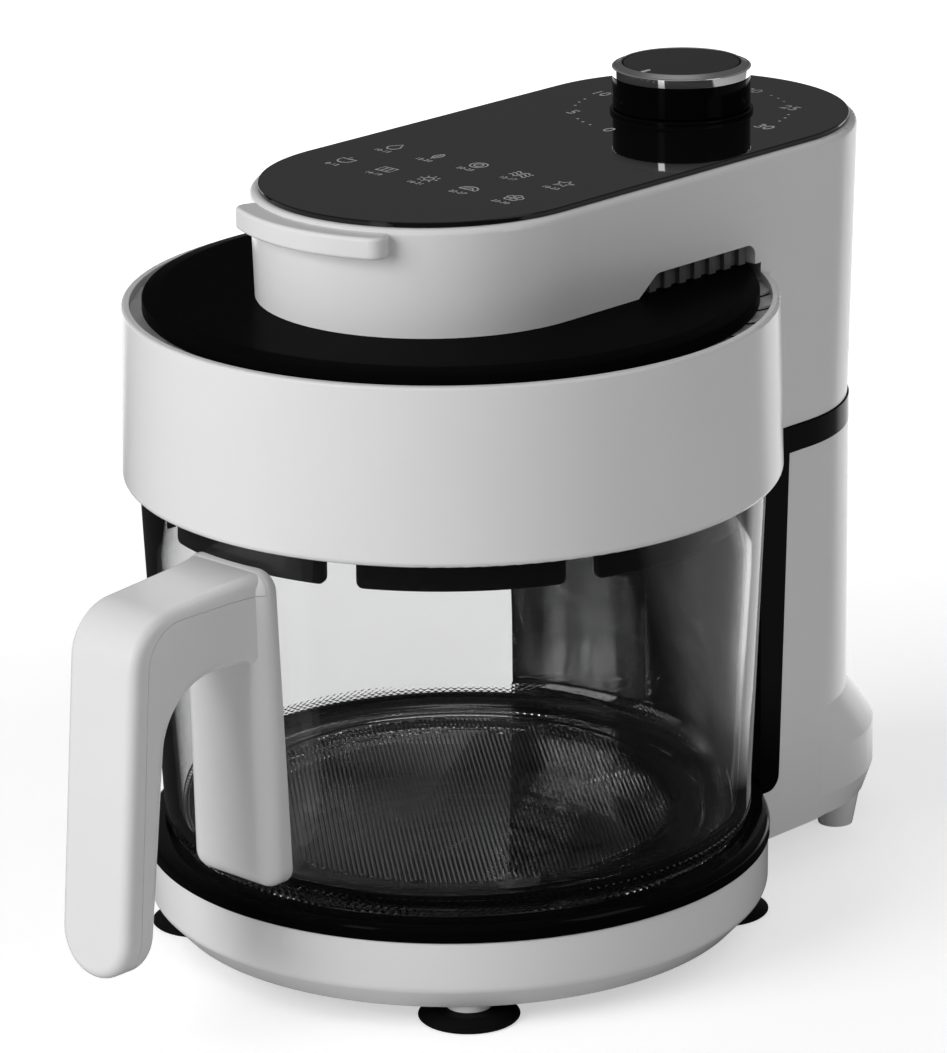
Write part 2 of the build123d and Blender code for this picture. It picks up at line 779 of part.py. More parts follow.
with BuildPart() as hinge_pin:
    with BuildSketch(Plane.YZ.offset(-hinge_half_width)):
        with Locations((hinge_y, hinge_height)):
            Circle(pin_radius)
    extrude(amount=2 * hinge_half_width)
hinge_pin.part.label = "hinge_pin"
export_step(hinge_pin.part, "parts/hinge_pin.step")

# Countersunk screws of the two leaves.
with BuildPart() as hinge_screws_base:
    for x, y in leaf_points:
        with BuildSketch(Plane.XZ.offset(-y)):
            with BuildLine():
                Polyline(
                    (x, band_top),
                    (x + screw_head_radius, band_top),
                    (x + screw_radius, band_top - screw_head_height),
                    (x + screw_radius, band_bottom + screw_tip),
                    (x, band_bottom + screw_tip),
                    close=True,
                )
            make_face()
        revolve(axis=Axis((x, y, 0), (0, 0, 1)))
hinge_screws_base.part.label = "hinge_screws_base"
export_step(hinge_screws_base.part, "parts/hinge_screws_base.step")

with BuildPart() as hinge_screws_head:
    for x, y in leaf_points:
        with BuildSketch(Plane.XZ.offset(-y)):
            with BuildLine():
                Polyline(
                    (x, head_leaf_bottom),
                    (x + screw_head_radius, head_leaf_bottom),
                    (x + screw_radius, head_leaf_bottom + screw_head_height),
                    (x + screw_radius, head_bottom + head_floor + screw_overrun),
                    (x, head_bottom + head_floor + screw_overrun),
                    close=True,
                )
            make_face()
        revolve(axis=Axis((x, y, 0), (0, 0, 1)))
hinge_screws_head.part.label = "hinge_screws_head"
export_step(hinge_screws_head.part, "parts/hinge_screws_head.step")

# Mains inlet: rubber bush in the back wall of the column.
inlet_back = jar_y + rear_block_back + column_half_width
with BuildPart() as mains_inlet:
    with BuildSketch(Plane.XZ.offset(-inlet_back + column_wall + inlet_flange)):
        with Locations((0, inlet_height)):
            Circle(inlet_radius - trim_seam)
            Circle(inlet_bore_radius, mode=Mode.SUBTRACT)
    extrude(amount=-column_wall - inlet_flange + 2 * fit_gap)
mains_inlet.part.label = "mains_inlet"
export_step(mains_inlet.part, "parts/mains_inlet.step")

blend_low = drum_bottom + skirt_bottom_round
blend_high = drum_top - skirt_top_round


def blend_section(level):
    """Give the corners of the wedge between drum and column at one level, and its hollow's middle."""
    drum_part = (level - drum_bottom) / (drum_top - drum_bottom)
    arm_part = (level - head_bottom) / (arm_top - head_bottom)
    radius = drum_radius + (drum_top_radius - drum_radius) * drum_part - blend_inset
    half_width = arm_low_half_width + (arm_top_half_width - arm_low_half_width) * arm_part - blend_inset
    centre_x = half_width + blend_radius
    centre_y = sqrt((radius + blend_radius) ** 2 - centre_x**2)
    outer_share = radius / (radius + blend_radius)
    inner_share = (radius - blend_depth) / (radius + blend_radius)
    inner_x = half_width - blend_depth
    inner_y = sqrt((radius - blend_depth) ** 2 - inner_x**2)
    corners = (
        (centre_x * inner_share, jar_y + centre_y * inner_share),
        (centre_x * outer_share, jar_y + centre_y * outer_share),
        (half_width, jar_y + centre_y),
        (inner_x, jar_y + centre_y),
        (inner_x, jar_y + inner_y),
    )
    return corners, Vector(centre_x, jar_y + centre_y, level)


# Wedge in the corner between drum and column on the right, hollowed by a leaning cylinder.
low_corners, hollow_low = blend_section(blend_low)
high_corners, hollow_high = blend_section(blend_high)
with BuildPart() as corner_blend:
    for level, corners in ((blend_low, low_corners), (blend_high, high_corners)):
        with BuildSketch(Plane.XY.offset(level)):
            with BuildLine():
                Polyline(*corners, close=True)
            make_face()
    loft(ruled=True)
    with BuildSketch(Plane(origin=hollow_low, z_dir=hollow_high - hollow_low)):
        Circle(blend_radius)
    extrude(amount=2 * (blend_high - blend_low), both=True, mode=Mode.SUBTRACT)

# Side view of an air outlet, which has a slanting front end.
with BuildSketch() as outlet:
    with BuildLine():
        Polyline(
            (jar_y + vent_front, disc_top - vent_drop),
            (jar_y + vent_front + vent_slant, vent_top),
            (jar_y + vent_rear, vent_top),
            (jar_y + vent_rear, disc_top - vent_drop),
            close=True,
        )
    make_face()
    fillet(outlet.vertices().group_by(Axis.Y)[-1], vent_round)

# Lip at the nose of the arm, for lifting the head.
tab_end = 2 * tab_radius * sin(radians(tab_half_angle))
tab_depth = 2 * tab_radius * cos(radians(tab_half_angle))
with BuildPart() as lift_tab:
    with BuildSketch(Plane.XY.offset(tab_bottom)) as tab_outline:
        with BuildLine():
            Polyline(
                (0, nose_y),
                (-tab_end, nose_y - tab_depth),
                (tab_end, nose_y - tab_depth),
                close=True,
            )
        make_face()
        with Locations((0, nose_y)):
            Circle(tab_radius, mode=Mode.INTERSECT)
        fillet(tab_outline.vertices().group_by(Axis.Y)[:2], tab_corner_radius)
        with Locations((0, nose_y)):
            Circle(arm_low_half_width, mode=Mode.SUBTRACT)
    extrude(amount=tab_height)
    tab_edges = lift_tab.faces().filter_by(Axis.Z).edges().filter_by(
        lambda edge: (edge @ 0.5 - Vector(0, nose_y, edge.center().Z)).length > arm_low_half_width + 1
    )
    fillet(tab_edges, tab_edge_radius)

# Head shell: drum skirt, arm and upper column in one white moulding, open on top.
with BuildPart() as head_shell:
    with BuildSketch(Plane.XY.offset(head_bottom)):
        with Locations((0, arm_mid_y)):
            SlotCenterToCenter(arm_centres, 2 * arm_low_half_width, rotation=90)
    with BuildSketch(Plane.XY.offset(arm_top)):
        with Locations((0, arm_mid_y)):
            SlotCenterToCenter(arm_centres, 2 * arm_top_half_width, rotation=90)
    loft()
    fillet(head_shell.edges().group_by(Axis.Z)[-1], arm_edge_radius)
    # The arm is cut free of the drum below it.
    with BuildSketch(Plane.XY.offset(head_bottom)):
        with Locations((0, jar_y)):
            Circle(drum_inner_radius)
    extrude(amount=disc_top - head_bottom, mode=Mode.SUBTRACT)
    with BuildSketch(radial_plane) as skirt_profile:
        with BuildLine():
            Polyline(
                (drum_inner_radius, drum_bottom),
                (drum_radius, drum_bottom),
                (drum_top_radius, drum_top),
                (drum_inner_radius, drum_top),
                close=True,
            )
        make_face()
        fillet(skirt_profile.vertices().sort_by_distance((drum_radius, drum_bottom))[0], skirt_bottom_round)
        fillet(skirt_profile.vertices().sort_by_distance((drum_top_radius, drum_top))[0], skirt_top_round)
    revolve(axis=jar_axis)
    add(corner_blend.part)
    mirror(corner_blend.part, about=Plane.YZ)
    add(lift_tab.part)
    # Inside of column and arm.
    with BuildSketch(Plane.XY.offset(head_bottom + head_floor)):
        with Locations((0, arm_mid_y)):
            SlotCenterToCenter(arm_centres, 2 * arm_inner_half_width, rotation=90)
        with Locations((0, jar_y)):
            Circle(drum_radius + 2 * fit_gap, mode=Mode.SUBTRACT)
    extrude(amount=disc_top - head_bottom - head_floor, mode=Mode.SUBTRACT)
    with BuildSketch(Plane.XY.offset(disc_top)):
        with Locations((0, arm_mid_y)):
            SlotCenterToCenter(arm_centres, 2 * arm_inner_half_width, rotation=90)
    extrude(amount=arm_top - disc_top, mode=Mode.SUBTRACT)
    # Air outlets low in both sides of the arm.
    with BuildSketch(side_plane):
        add(outlet.sketch)
    extrude(amount=2 * arm_top_half_width, both=True, mode=Mode.SUBTRACT)
    # Room for knuckles and leaf at the back.
    with BuildSketch(hinge_plane):
        with Locations((hinge_y, hinge_height)):
            Circle(knuckle_space)
    extrude(amount=2 * notch_half_width, mode=Mode.SUBTRACT)
    with BuildSketch(Plane.XY.offset(head_bottom)):
        with Locations((0, (leaf_front + hinge_y) / 2)):
            Rectangle(2 * (hinge_half_width + fit_gap), hinge_y - leaf_front + 2 * fit_gap)
    extrude(amount=leaf_thickness + fit_gap, mode=Mode.SUBTRACT)
    with BuildSketch(Plane.XY.offset(head_bottom)):
        with Locations(*leaf_points):
            Circle(screw_radius)
    extrude(amount=head_floor, mode=Mode.SUBTRACT)
head_shell.part.label = "head_shell"
export_step(head_shell.part, "parts/head_shell.step")

# Black top panel.
with BuildPart() as top_panel:
    with BuildSketch(Plane.XY.offset(arm_top)):
        with Locations((0, arm_mid_y)):
            SlotCenterToCenter(arm_centres, 2 * panel_half_width, rotation=90)
        with Locations((0, column_y)):
            Circle(panel_bore_radius, mode=Mode.SUBTRACT)
    extrude(amount=panel_thickness)
    fillet(top_panel.faces().sort_by(Axis.Z)[-1].outer_wire().edges(), panel_edge_radius)
top_panel.part.label = "top_panel"
export_step(top_panel.part, "parts/top_panel.step")

# Black lid of the drum: a low plateau with a sloping rim.
disc_bottom = disc_edge_height - disc_thickness
with BuildPart() as drum_disc:
    with BuildSketch(radial_plane):
        with BuildLine():
            Polyline(
                (shaft_radius + shaft_bore_margin, disc_bottom),
                (disc_radius, disc_bottom),
                (disc_radius, disc_edge_height - disc_edge_round),
                (disc_radius - disc_edge_round, disc_edge_height),
                (disc_plateau_radius, disc_top),
                (shaft_radius + shaft_bore_margin, disc_top),
                close=True,
            )
        make_face()
    revolve(axis=jar_axis)
drum_disc.part.label = "drum_disc"
export_step(drum_disc.part, "parts/drum_disc.step")

# White louvre ring round the lid: slanted slots between thin vanes.
with BuildPart() as louvre_ring:
    with BuildSketch(Plane.XY.offset(disc_bottom - louvre_thickness)):
        with Locations((0, jar_y)):
            Circle(drum_inner_radius)
            Circle(disc_radius - louvre_seat, mode=Mode.SUBTRACT)
            with PolarLocations((disc_radius + drum_inner_radius) / 2, slot_count):
                Rectangle(
                    louvre_width - 2 * slot_margin,
                    slot_width,
                    rotation=slot_lean,
                    mode=Mode.SUBTRACT,
                )
    extrude(amount=louvre_thickness)
louvre_ring.part.label = "louvre_ring"
export_step(louvre_ring.part, "parts/louvre_ring.step")

# Dark grilles behind the air outlets: a strip with upright ribs.
strip_length = vent_rear - vent_front
rib_pitch = strip_length / vent_rib_count
rib_gaps = [(jar_y + vent_front + rib_pitch * index, disc_top) for index in range(vent_rib_count + 1)]
strip_middle = jar_y + (vent_front + vent_rear) / 2
for side, name in ((1, "right"), (-1, "left")):
    with BuildPart() as outlet_grille:
        with BuildSketch(Plane.YZ.offset(side * arm_inner_half_width)):
            add(outlet.sketch)
            offset(amount=-vent_clearance, mode=Mode.REPLACE)
            with Locations(*rib_gaps):
                Rectangle(rib_pitch - vent_rib_width, 4 * (vent_top - disc_top), mode=Mode.SUBTRACT)
        extrude(amount=side * vent_rib_depth)
        with BuildSketch(Plane.XY.offset(disc_top)):
            with Locations((side * (arm_inner_half_width - vent_rib_depth / 2), strip_middle)):
                Rectangle(vent_rib_depth, strip_length + 2 * vent_strip_margin)
        extrude(amount=vent_top - disc_top + vent_strip_margin)
        with BuildSketch(Plane.XY.offset(disc_top - 2 * vent_drop)):
            with Locations((side * arm_inner_half_width, strip_middle)):
                Rectangle(4 * vent_rib_depth, 2 * strip_length)
        extrude(amount=2 * vent_drop, mode=Mode.SUBTRACT)
    outlet_grille.part.label = f"outlet_grille_{name}"
    export_step(outlet_grille.part, f"parts/outlet_grille_{name}.step")

# Black frame over the rim of the bowl.
with BuildPart() as bowl_frame:
    with BuildSketch(Plane.XY.offset(frame_bottom)):
        with Locations((0, jar_y)):
            Circle(drum_inner_radius)
            Circle(guard_inner_radius - frame_ledge, mode=Mode.SUBTRACT)
    extrude(amount=frame_thickness)
bowl_frame.part.label = "bowl_frame"
export_step(bowl_frame.part, "parts/bowl_frame.step")

# Guard ring under the frame: it hangs inside the rim of the bowl, its skirt in eight segments.
with BuildPart() as bowl_guard:
    with BuildSketch(Plane.XY.offset(guard_bottom)):
        with Locations((0, jar_y)):
            Circle(guard_outer_radius)
            Circle(guard_inner_radius, mode=Mode.SUBTRACT)
    extrude(amount=frame_bottom - guard_bottom)
    with BuildSketch(Plane.XY.offset(guard_bottom)):
        with Locations((0, jar_y)):
            with PolarLocations(guard_inner_radius, guard_gap_count, start_angle=180 / guard_gap_count):
                Rectangle(guard_gap_depth, guard_gap_width)
    extrude(amount=guard_gap_top - guard_bottom, mode=Mode.SUBTRACT)
bowl_guard.part.label = "bowl_guard"
export_step(bowl_guard.part, "parts/bowl_guard.step")

# Silicone seal that meets the rim of the bowl.
with BuildPart() as bowl_seal:
    with BuildSketch(Plane.XY.offset(jar_top + seal_gap)):
        with Locations((0, jar_y)):
            Circle(jar_top_radius + seal_outer_margin)
            Circle(jar_top_radius - jar_wall - seal_inner_margin, mode=Mode.SUBTRACT)
    extrude(amount=frame_bottom - jar_top - seal_gap)
bowl_seal.part.label = "bowl_seal"
export_step(bowl_seal.part, "parts/bowl_seal.step")

# Steel grille under heater and fan: rings and spokes stamped from one sheet.
with BuildPart() as fan_grille:
    with BuildSketch(Plane.XY.offset(frame_bottom - grille_thickness)):
        with Locations((0, jar_y)):
            Circle(guard_inner_radius - grille_gap)
            for ring in range(grille_ring_count, 0, -1):
                Circle(ring * grille_pitch, mode=Mode.SUBTRACT)
                Circle((ring - 1 + grille_ring_share) * grille_pitch)
            with PolarLocations(0, 3):
                Rectangle(2 * guard_inner_radius - grille_rim, grille_spoke_width)
    extrude(amount=grille_thickness)
fan_grille.part.label = "fan_grille"
export_step(fan_grille.part, "parts/fan_grille.step")

# Spun aluminium reflector above the heater.
reflector_bottom = frame_bottom + frame_thickness
terminal_points = [(radius_x, jar_y) for radius_x in (element_radius, -element_radius - 1.5 * element_pitch)]
with BuildPart() as reflector:
    with BuildSketch(radial_plane):
        with BuildLine():
            Polyline(
                (reflector_radius, reflector_bottom),
                (reflector_radius, reflector_bottom + reflector_wall),
                (reflector_radius - reflector_lip, reflector_bottom + reflector_wall),
                (reflector_radius - reflector_draft, reflector_top),
                (shaft_radius + shaft_bore_margin, reflector_top),
                (shaft_radius + shaft_bore_margin, reflector_top - reflector_wall),
                (reflector_radius - reflector_draft - reflector_wall, reflector_top - reflector_wall),
                (reflector_radius - reflector_lip - reflector_wall, reflector_bottom),
                close=True,
            )
        make_face()
    revolve(axis=jar_axis)
    with BuildSketch(Plane.XY.offset(reflector_top - 2 * reflector_wall)):
        with Locations(*terminal_points):
            Circle(element_tube_radius)
    extrude(amount=3 * reflector_wall, mode=Mode.SUBTRACT)
reflector.part.label = "reflector"
export_step(reflector.part, "parts/reflector.step")

# Heating element: one tube in a spiral of half turns, with both ends turned up.
element_plane = Plane.XY.offset(element_height)
with BuildPart() as heating_element:
    with BuildLine(element_plane) as element_path:
        for turn in range(3):
            direction = 1 if turn % 2 == 0 else -1
            near = element_radius + turn * element_pitch / 2
            far = near + element_pitch / 2
            middle = direction * (near - far) / 2
            ThreePointArc(
                (direction * near, jar_y),
                (middle, jar_y + direction * (near + far) / 2),
                (-direction * far, jar_y),
            )
    with BuildSketch(Plane.XZ.offset(-jar_y)):
        with Locations((element_radius, element_height)):
            Circle(element_tube_radius)
    sweep(path=element_path.line)
    with BuildSketch(Plane.XY.offset(element_height)):
        with Locations(*terminal_points):
            Circle(element_tube_radius)
    extrude(amount=reflector_top + element_tail - element_height)
    with Locations(*[(x, y, element_height) for x, y in terminal_points]):
        Sphere(element_tube_radius)
heating_element.part.label = "heating_element"
export_step(heating_element.part, "parts/heating_element.step")

# Hot-air fan: curved blades between hub and back plate.
with BuildSketch() as fan_blade:
    with BuildLine():
        ThreePointArc(
            (hub_radius - blade_overlap, 0),
            (blade_bow_place * fan_radius, blade_bow),
            (fan_radius - blade_overlap, 0),
        )
    trace(line_width=blade_thickness)
with BuildPart() as hot_air_fan:
    with BuildSketch(Plane.XY.offset(fan_bottom)):
        with Locations((0, jar_y)):
            Circle(hub_radius)
            with PolarLocations(0, fan_blades):
                add(fan_blade.sketch)
    extrude(amount=fan_height)
    with BuildSketch(Plane.XY.offset(fan_bottom + fan_height)):
        with Locations((0, jar_y)):
            Circle(fan_radius)
    extrude(amount=blade_thickness)
    with BuildSketch(Plane.XY.offset(fan_bottom)):
        with Locations((0, jar_y)):
            Circle(shaft_radius)
    extrude(amount=2 * fan_height, mode=Mode.SUBTRACT)
hot_air_fan.part.label = "hot_air_fan"
export_step(hot_air_fan.part, "parts/hot_air_fan.step")

# Cooling fan on the same shaft, between reflector and lid.
with BuildSketch() as cooling_blade:
    with BuildLine():
        ThreePointArc(
            (hub_radius - blade_overlap, 0),
            (blade_bow_place * cooling_fan_radius, blade_bow),
            (cooling_fan_radius - blade_overlap, 0),
        )
    trace(line_width=blade_thickness)
with BuildPart() as cooling_fan:
    with BuildSketch(Plane.XY.offset(cooling_fan_bottom)):
        with Locations((0, jar_y)):
            Circle(cooling_fan_radius)
    extrude(amount=blade_thickness)
    with BuildSketch(Plane.XY.offset(cooling_fan_bottom)):
        with Locations((0, jar_y)):
            Circle(hub_radius)
            with PolarLocations(0, cooling_blades):
                add(cooling_blade.sketch)
    extrude(amount=cooling_fan_height)
    with BuildSketch(Plane.XY.offset(cooling_fan_bottom)):
        with Locations((0, jar_y)):
            Circle(shaft_radius)
    extrude(amount=2 * cooling_fan_height, mode=Mode.SUBTRACT)
cooling_fan.part.label = "cooling_fan"
export_step(cooling_fan.part, "parts/cooling_fan.step")

# Motor on the drum's lid, with its shaft down to both fans.
with BuildPart() as motor:
    with BuildSketch(Plane.XY.offset(disc_top)):
        with Locations((0, jar_y)):
            Circle(motor_radius)
            with PolarLocations(motor_radius + motor_lug_reach, 3, start_angle=90):
                Circle(motor_lug_radius)
    extrude(amount=motor_lug_thickness)
    with BuildSketch(Plane.XY.offset(disc_top)):
        with Locations((0, jar_y)):
            Circle(motor_radius)
    extrude(amount=motor_height)
    with BuildSketch(Plane.XY.offset(disc_top + motor_height)):
        with Locations((0, jar_y)):
            Circle(motor_boss_radius)
    extrude(amount=motor_boss_height)
    with BuildSketch(Plane.XY.offset(disc_top)):
        with Locations((0, jar_y)):
            Circle(shaft_radius + shaft_clearance)
    extrude(amount=motor_height + motor_boss_height, mode=Mode.SUBTRACT)
motor.part.label = "motor"
export_step(motor.part, "parts/motor.step")

shaft_bottom = fan_bottom - shaft_overhang_low
with BuildPart() as motor_shaft:
    with BuildSketch(Plane.XY.offset(shaft_bottom)):
        with Locations((0, jar_y)):
            Circle(shaft_radius)
    extrude(amount=disc_top + motor_height + shaft_overhang_high - shaft_bottom)
motor_shaft.part.label = "motor_shaft"
export_step(motor_shaft.part, "parts/motor_shaft.step")

# Clockwork timer under the panel, its spindle and the ring round the knob.
with BuildPart() as timer:
    with BuildSketch(Plane.XY.offset(timer_top - timer_height)):
        with Locations((0, column_y)):
            RectangleRounded(timer_size, timer_size, timer_corner_radius)
    extrude(amount=timer_height)
    with BuildSketch(Plane.XY.offset(timer_top)):
        with Locations((0, column_y)):
            Rectangle(timer_size + 2 * timer_lug_length, timer_lug_width)
    extrude(amount=arm_top - timer_top)
    with BuildSketch(Plane.XY.offset(timer_top - timer_height + timer_floor)):
        with Locations((0, column_y)):
            Circle(shaft_radius + shaft_clearance)
    extrude(amount=timer_height, mode=Mode.SUBTRACT)
timer.part.label = "timer"
export_step(timer.part, "parts/timer.step")

spindle_bottom = timer_top - timer_height + timer_floor + spindle_gap
with BuildPart() as timer_spindle:
    with BuildSketch(Plane.XY.offset(spindle_bottom)):
        with Locations((0, column_y)):
            Circle(shaft_radius)
    extrude(amount=knob_ring_bottom - knob_socket_roof - spindle_bottom)
timer_spindle.part.label = "timer_spindle"
export_step(timer_spindle.part, "parts/timer_spindle.step")

knob_axis = Axis((0, column_y, 0), (0, 0, 1))
knob_plane = Plane.XZ.offset(-column_y)
with BuildPart() as dial_ring:
    with BuildSketch(knob_plane) as dial_profile:
        with BuildLine():
            Polyline(
                (panel_bore_radius, panel_top),
                (dial_ring_radius, panel_top),
                (dial_ring_radius, panel_top + dial_ring_thickness),
                (panel_bore_radius, panel_top + dial_ring_thickness),
                close=True,
            )
        make_face()
        fillet(dial_profile.vertices().group_by(Axis.X)[-1].sort_by(Axis.Y)[-1], dial_ring_round)
    revolve(axis=knob_axis)
dial_ring.part.label = "dial_ring"
export_step(dial_ring.part, "parts/dial_ring.step")

# Knob: black skirt with a hub, bright bevelled ring, dark insert and white pointer.
insert_floor = knob_top - knob_insert_depth
hub_outer_radius = shaft_radius + knob_hub_wall
with BuildPart() as knob_body:
    with BuildSketch(knob_plane):
        with BuildLine():
            Polyline(
                (shaft_radius, knob_bottom),
                (hub_outer_radius, knob_bottom),
                (hub_outer_radius, knob_ring_bottom - knob_roof),
                (knob_radius - knob_wall, knob_ring_bottom - knob_roof),
                (knob_radius - knob_wall, knob_bottom),
                (knob_radius, knob_bottom),
                (knob_radius, knob_ring_bottom),
                (knob_insert_radius, knob_ring_bottom),
                (knob_insert_radius, insert_floor),
                (0, insert_floor),
                (0, knob_ring_bottom - knob_socket_roof),
                (shaft_radius, knob_ring_bottom - knob_socket_roof),
                close=True,
            )
        make_face()
    revolve(axis=knob_axis)
knob_body.part.label = "knob_body"
export_step(knob_body.part, "parts/knob_body.step")

with BuildPart() as knob_ring:
    with BuildSketch(knob_plane):
        with BuildLine():
            Polyline(
                (knob_insert_radius, knob_ring_bottom),
                (knob_ring_radius, knob_ring_bottom),
                (knob_ring_radius, knob_ring_edge),
                (knob_insert_radius + knob_bevel_edge, knob_top),
                (knob_insert_radius, knob_top),
                close=True,
            )
        make_face()
    revolve(axis=knob_axis)
knob_ring.part.label = "knob_ring"
export_step(knob_ring.part, "parts/knob_ring.step")

with BuildPart() as knob_insert:
    with BuildSketch(Plane.XY.offset(insert_floor)):
        with Locations((0, column_y)):
            Circle(knob_insert_radius - knob_insert_gap)
        with Locations((0, column_y - knob_insert_radius + pointer_length / 2)):
            Rectangle(pointer_width + 2 * pointer_gap, pointer_length + 2 * pointer_gap, mode=Mode.SUBTRACT)
    extrude(amount=knob_insert_depth - knob_insert_sink)
knob_insert.part.label = "knob_insert"
export_step(knob_insert.part, "parts/knob_insert.step")

with BuildPart() as knob_pointer:
    with BuildSketch(Plane.XY.offset(insert_floor)):
        with Locations((0, column_y - knob_insert_radius + knob_insert_sink + pointer_length / 2)):
            Rectangle(pointer_width, pointer_length)
    extrude(amount=knob_insert_depth - pointer_sink)
knob_pointer.part.label = "knob_pointer"
export_step(knob_pointer.part, "parts/knob_pointer.step")

# Glass bowl: slightly conical wall, round heel and thick flat bottom.
inner_floor = jar_floor_height + jar_bottom_thickness
inner_floor_radius = jar_floor_radius + jar_slope * jar_bottom_thickness - jar_wall
with BuildPart() as glass_bowl:
    with BuildSketch(radial_plane) as bowl_profile:
        with BuildLine():
            Polyline(
                (0, jar_floor_height),
                (jar_floor_radius, jar_floor_height),
                (jar_top_radius, jar_top),
                (jar_top_radius - jar_wall, jar_top),
                (inner_floor_radius, inner_floor),
                (0, inner_floor),
                close=True,
            )
        make_face()
        fillet(bowl_profile.vertices().group_by(Axis.Y)[-1], jar_rim_radius)
        fillet(bowl_profile.vertices().group_by(Axis.Y)[0].sort_by(Axis.X)[-1], jar_heel_radius)
        inner_heel = bowl_profile.vertices().sort_by_distance((inner_floor_radius, inner_floor))[0]
        fillet(inner_heel, jar_inner_heel_radius)
    revolve(axis=jar_axis)
glass_bowl.part.label = "glass_bowl"
export_step(glass_bowl.part, "parts/glass_bowl.step")

# Handle: a plate against the glass, a bridge at the top and a grip that leans outwards.
flare_end = jar_y - jar_floor_radius
flare_start = flare_end - bridge_flare_length
upright = 0.9999
plate_slope = plate_rake / (handle_top - handle_plate_bottom)
plate_at_bridge = handle_plate_face - plate_slope * (handle_top - bridge_bottom)
grip_lean = finger_rake / (bridge_bottom - grip_bottom)
with BuildPart() as handle_grip:
    with BuildSketch(side_plane) as grip_profile:
        with BuildLine():
            Polyline(
                (jar_y - jar_floor_radius, handle_top),
                (jar_y - grip_outer_top, handle_top - bridge_fall),
                (jar_y - grip_outer_low, grip_bottom),
                (jar_y - grip_inner_low, grip_bottom),
                (jar_y - grip_inner_top, bridge_bottom),
                (jar_y - plate_at_bridge, bridge_bottom),
                (jar_y - jar_floor_radius, bridge_bottom - bridge_root),
                close=True,
            )
        make_face()
        outer_corner = grip_profile.vertices().sort_by_distance((jar_y - grip_outer_top, handle_top))[0]
        fillet(outer_corner, grip_corner_radius)
        inner_corner = grip_profile.vertices().sort_by_distance((jar_y - grip_inner_top, bridge_bottom))[0]
        fillet(inner_corner, grip_inner_radius)
        root_corner = grip_profile.vertices().sort_by_distance((jar_y - plate_at_bridge, bridge_bottom))[0]
        fillet(root_corner, bridge_inner_radius)
    extrude(amount=bridge_root_half_width, both=True)
    # Seen from above the bridge widens towards the plate.
    with BuildSketch(Plane.XY):
        with BuildLine():
            right_side = Line((grip_half_width, jar_y - 2 * handle_reach), (grip_half_width, flare_start))
            right_flare = TangentArc(right_side @ 1, (bridge_root_half_width, flare_end), tangent=(0, 1))
            left_side = Line((-grip_half_width, jar_y - 2 * handle_reach), (-grip_half_width, flare_start))
            left_flare = TangentArc(left_side @ 1, (-bridge_root_half_width, flare_end), tangent=(0, 1))
            Line(right_flare @ 1, left_flare @ 1)
            Line(right_side @ 0, left_side @ 0)
        make_face()
    extrude(amount=2 * handle_top, mode=Mode.INTERSECT)
    # The lower end of the grip is a half round tongue.
    tongue_start = grip_bottom + grip_half_width
    with BuildSketch(radial_plane):
        with Locations((0, tongue_start / 2)):
            Rectangle(4 * grip_half_width, tongue_start)
        with Locations((0, tongue_start)):
            Circle(grip_half_width, mode=Mode.SUBTRACT)
    extrude(amount=2 * handle_reach, mode=Mode.SUBTRACT)
    outline = handle_grip.edges().filter_by(
        lambda edge: min(abs((edge @ place).X) for place in (0, 0.5, 1)) > grip_half_width - fit_gap
        and edge.center().Y < jar_y - jar_top_radius
        and edge.center().Z > tongue_start + fit_gap
        and abs((edge % 0.5).Z) < upright
    )
    fillet(outline, grip_edge_radius)

plate_middle = (handle_top + handle_plate_bottom) / 2
plate_plane = Plane(
    origin=(0, jar_y - (handle_plate_face + handle_plate_low) / 2, plate_middle),
    x_dir=(1, 0, 0),
    z_dir=(0, -1, -plate_slope),
)
with BuildPart() as handle_form:
    with BuildSketch(plate_plane):
        RectangleRounded(2 * handle_plate_half_width, handle_top - handle_plate_bottom, plate_corner_radius)
    extrude(amount=-plate_depth)
    fillet(handle_form.faces().sort_by(Axis.Y)[0].edges(), plate_edge_radius)
    add(handle_grip.part)
    with BuildSketch(radial_plane):
        with BuildLine():
            Polyline(
                (0, jar_floor_height),
                (jar_floor_radius, jar_floor_height),
                (jar_top_radius, jar_top),
                (0, jar_top),
                close=True,
            )
        make_face()
    revolve(axis=jar_axis, mode=Mode.SUBTRACT)

# The handle is split along a seam into an outer cover and an inner half.
seam_level = handle_top - cover_thickness
seam_slope = (grip_seam_low - grip_seam_top) / (seam_level - grip_bottom)
seam_bend = (jar_y - grip_seam_top, seam_level)
# Height, head seat and tip of each screw, as distances from the axis of the bowl.
handle_screw_places = [
    (
        level,
        grip_inner_top + grip_lean * (bridge_bottom - level) + handle_screw_sink,
        grip_outer_low - grip_rake * (level - grip_bottom) - cover_skin,
    )
    for level in handle_screw_levels
]
with BuildPart() as handle_cover:
    add(handle_form.part)
    with BuildSketch(side_plane) as below_seam:
        with BuildLine():
            Polyline(
                (jar_y, 0),
                (jar_y, 2 * handle_top),
                (jar_y - cover_start, 2 * handle_top),
                (jar_y - cover_start, seam_level),
                (jar_y - grip_seam_top, seam_level),
                (jar_y - grip_seam_low, grip_bottom),
                (jar_y - grip_seam_low - seam_slope * grip_bottom, 0),
                close=True,
            )
        make_face()
        seam_corner = below_seam.vertices().sort_by_distance(seam_bend)[0]
        fillet(seam_corner, seam_radius + seam_gap)
    extrude(amount=2 * grip_half_width, both=True, mode=Mode.SUBTRACT)
    for level, seat, tip in handle_screw_places:
        with BuildSketch(Plane.XZ.offset(seat - jar_y)):
            with Locations((0, level)):
                Circle(screw_radius)
        extrude(amount=tip - seat, mode=Mode.SUBTRACT)
handle_cover.part.label = "handle_cover"
export_step(handle_cover.part, "parts/handle_cover.step")

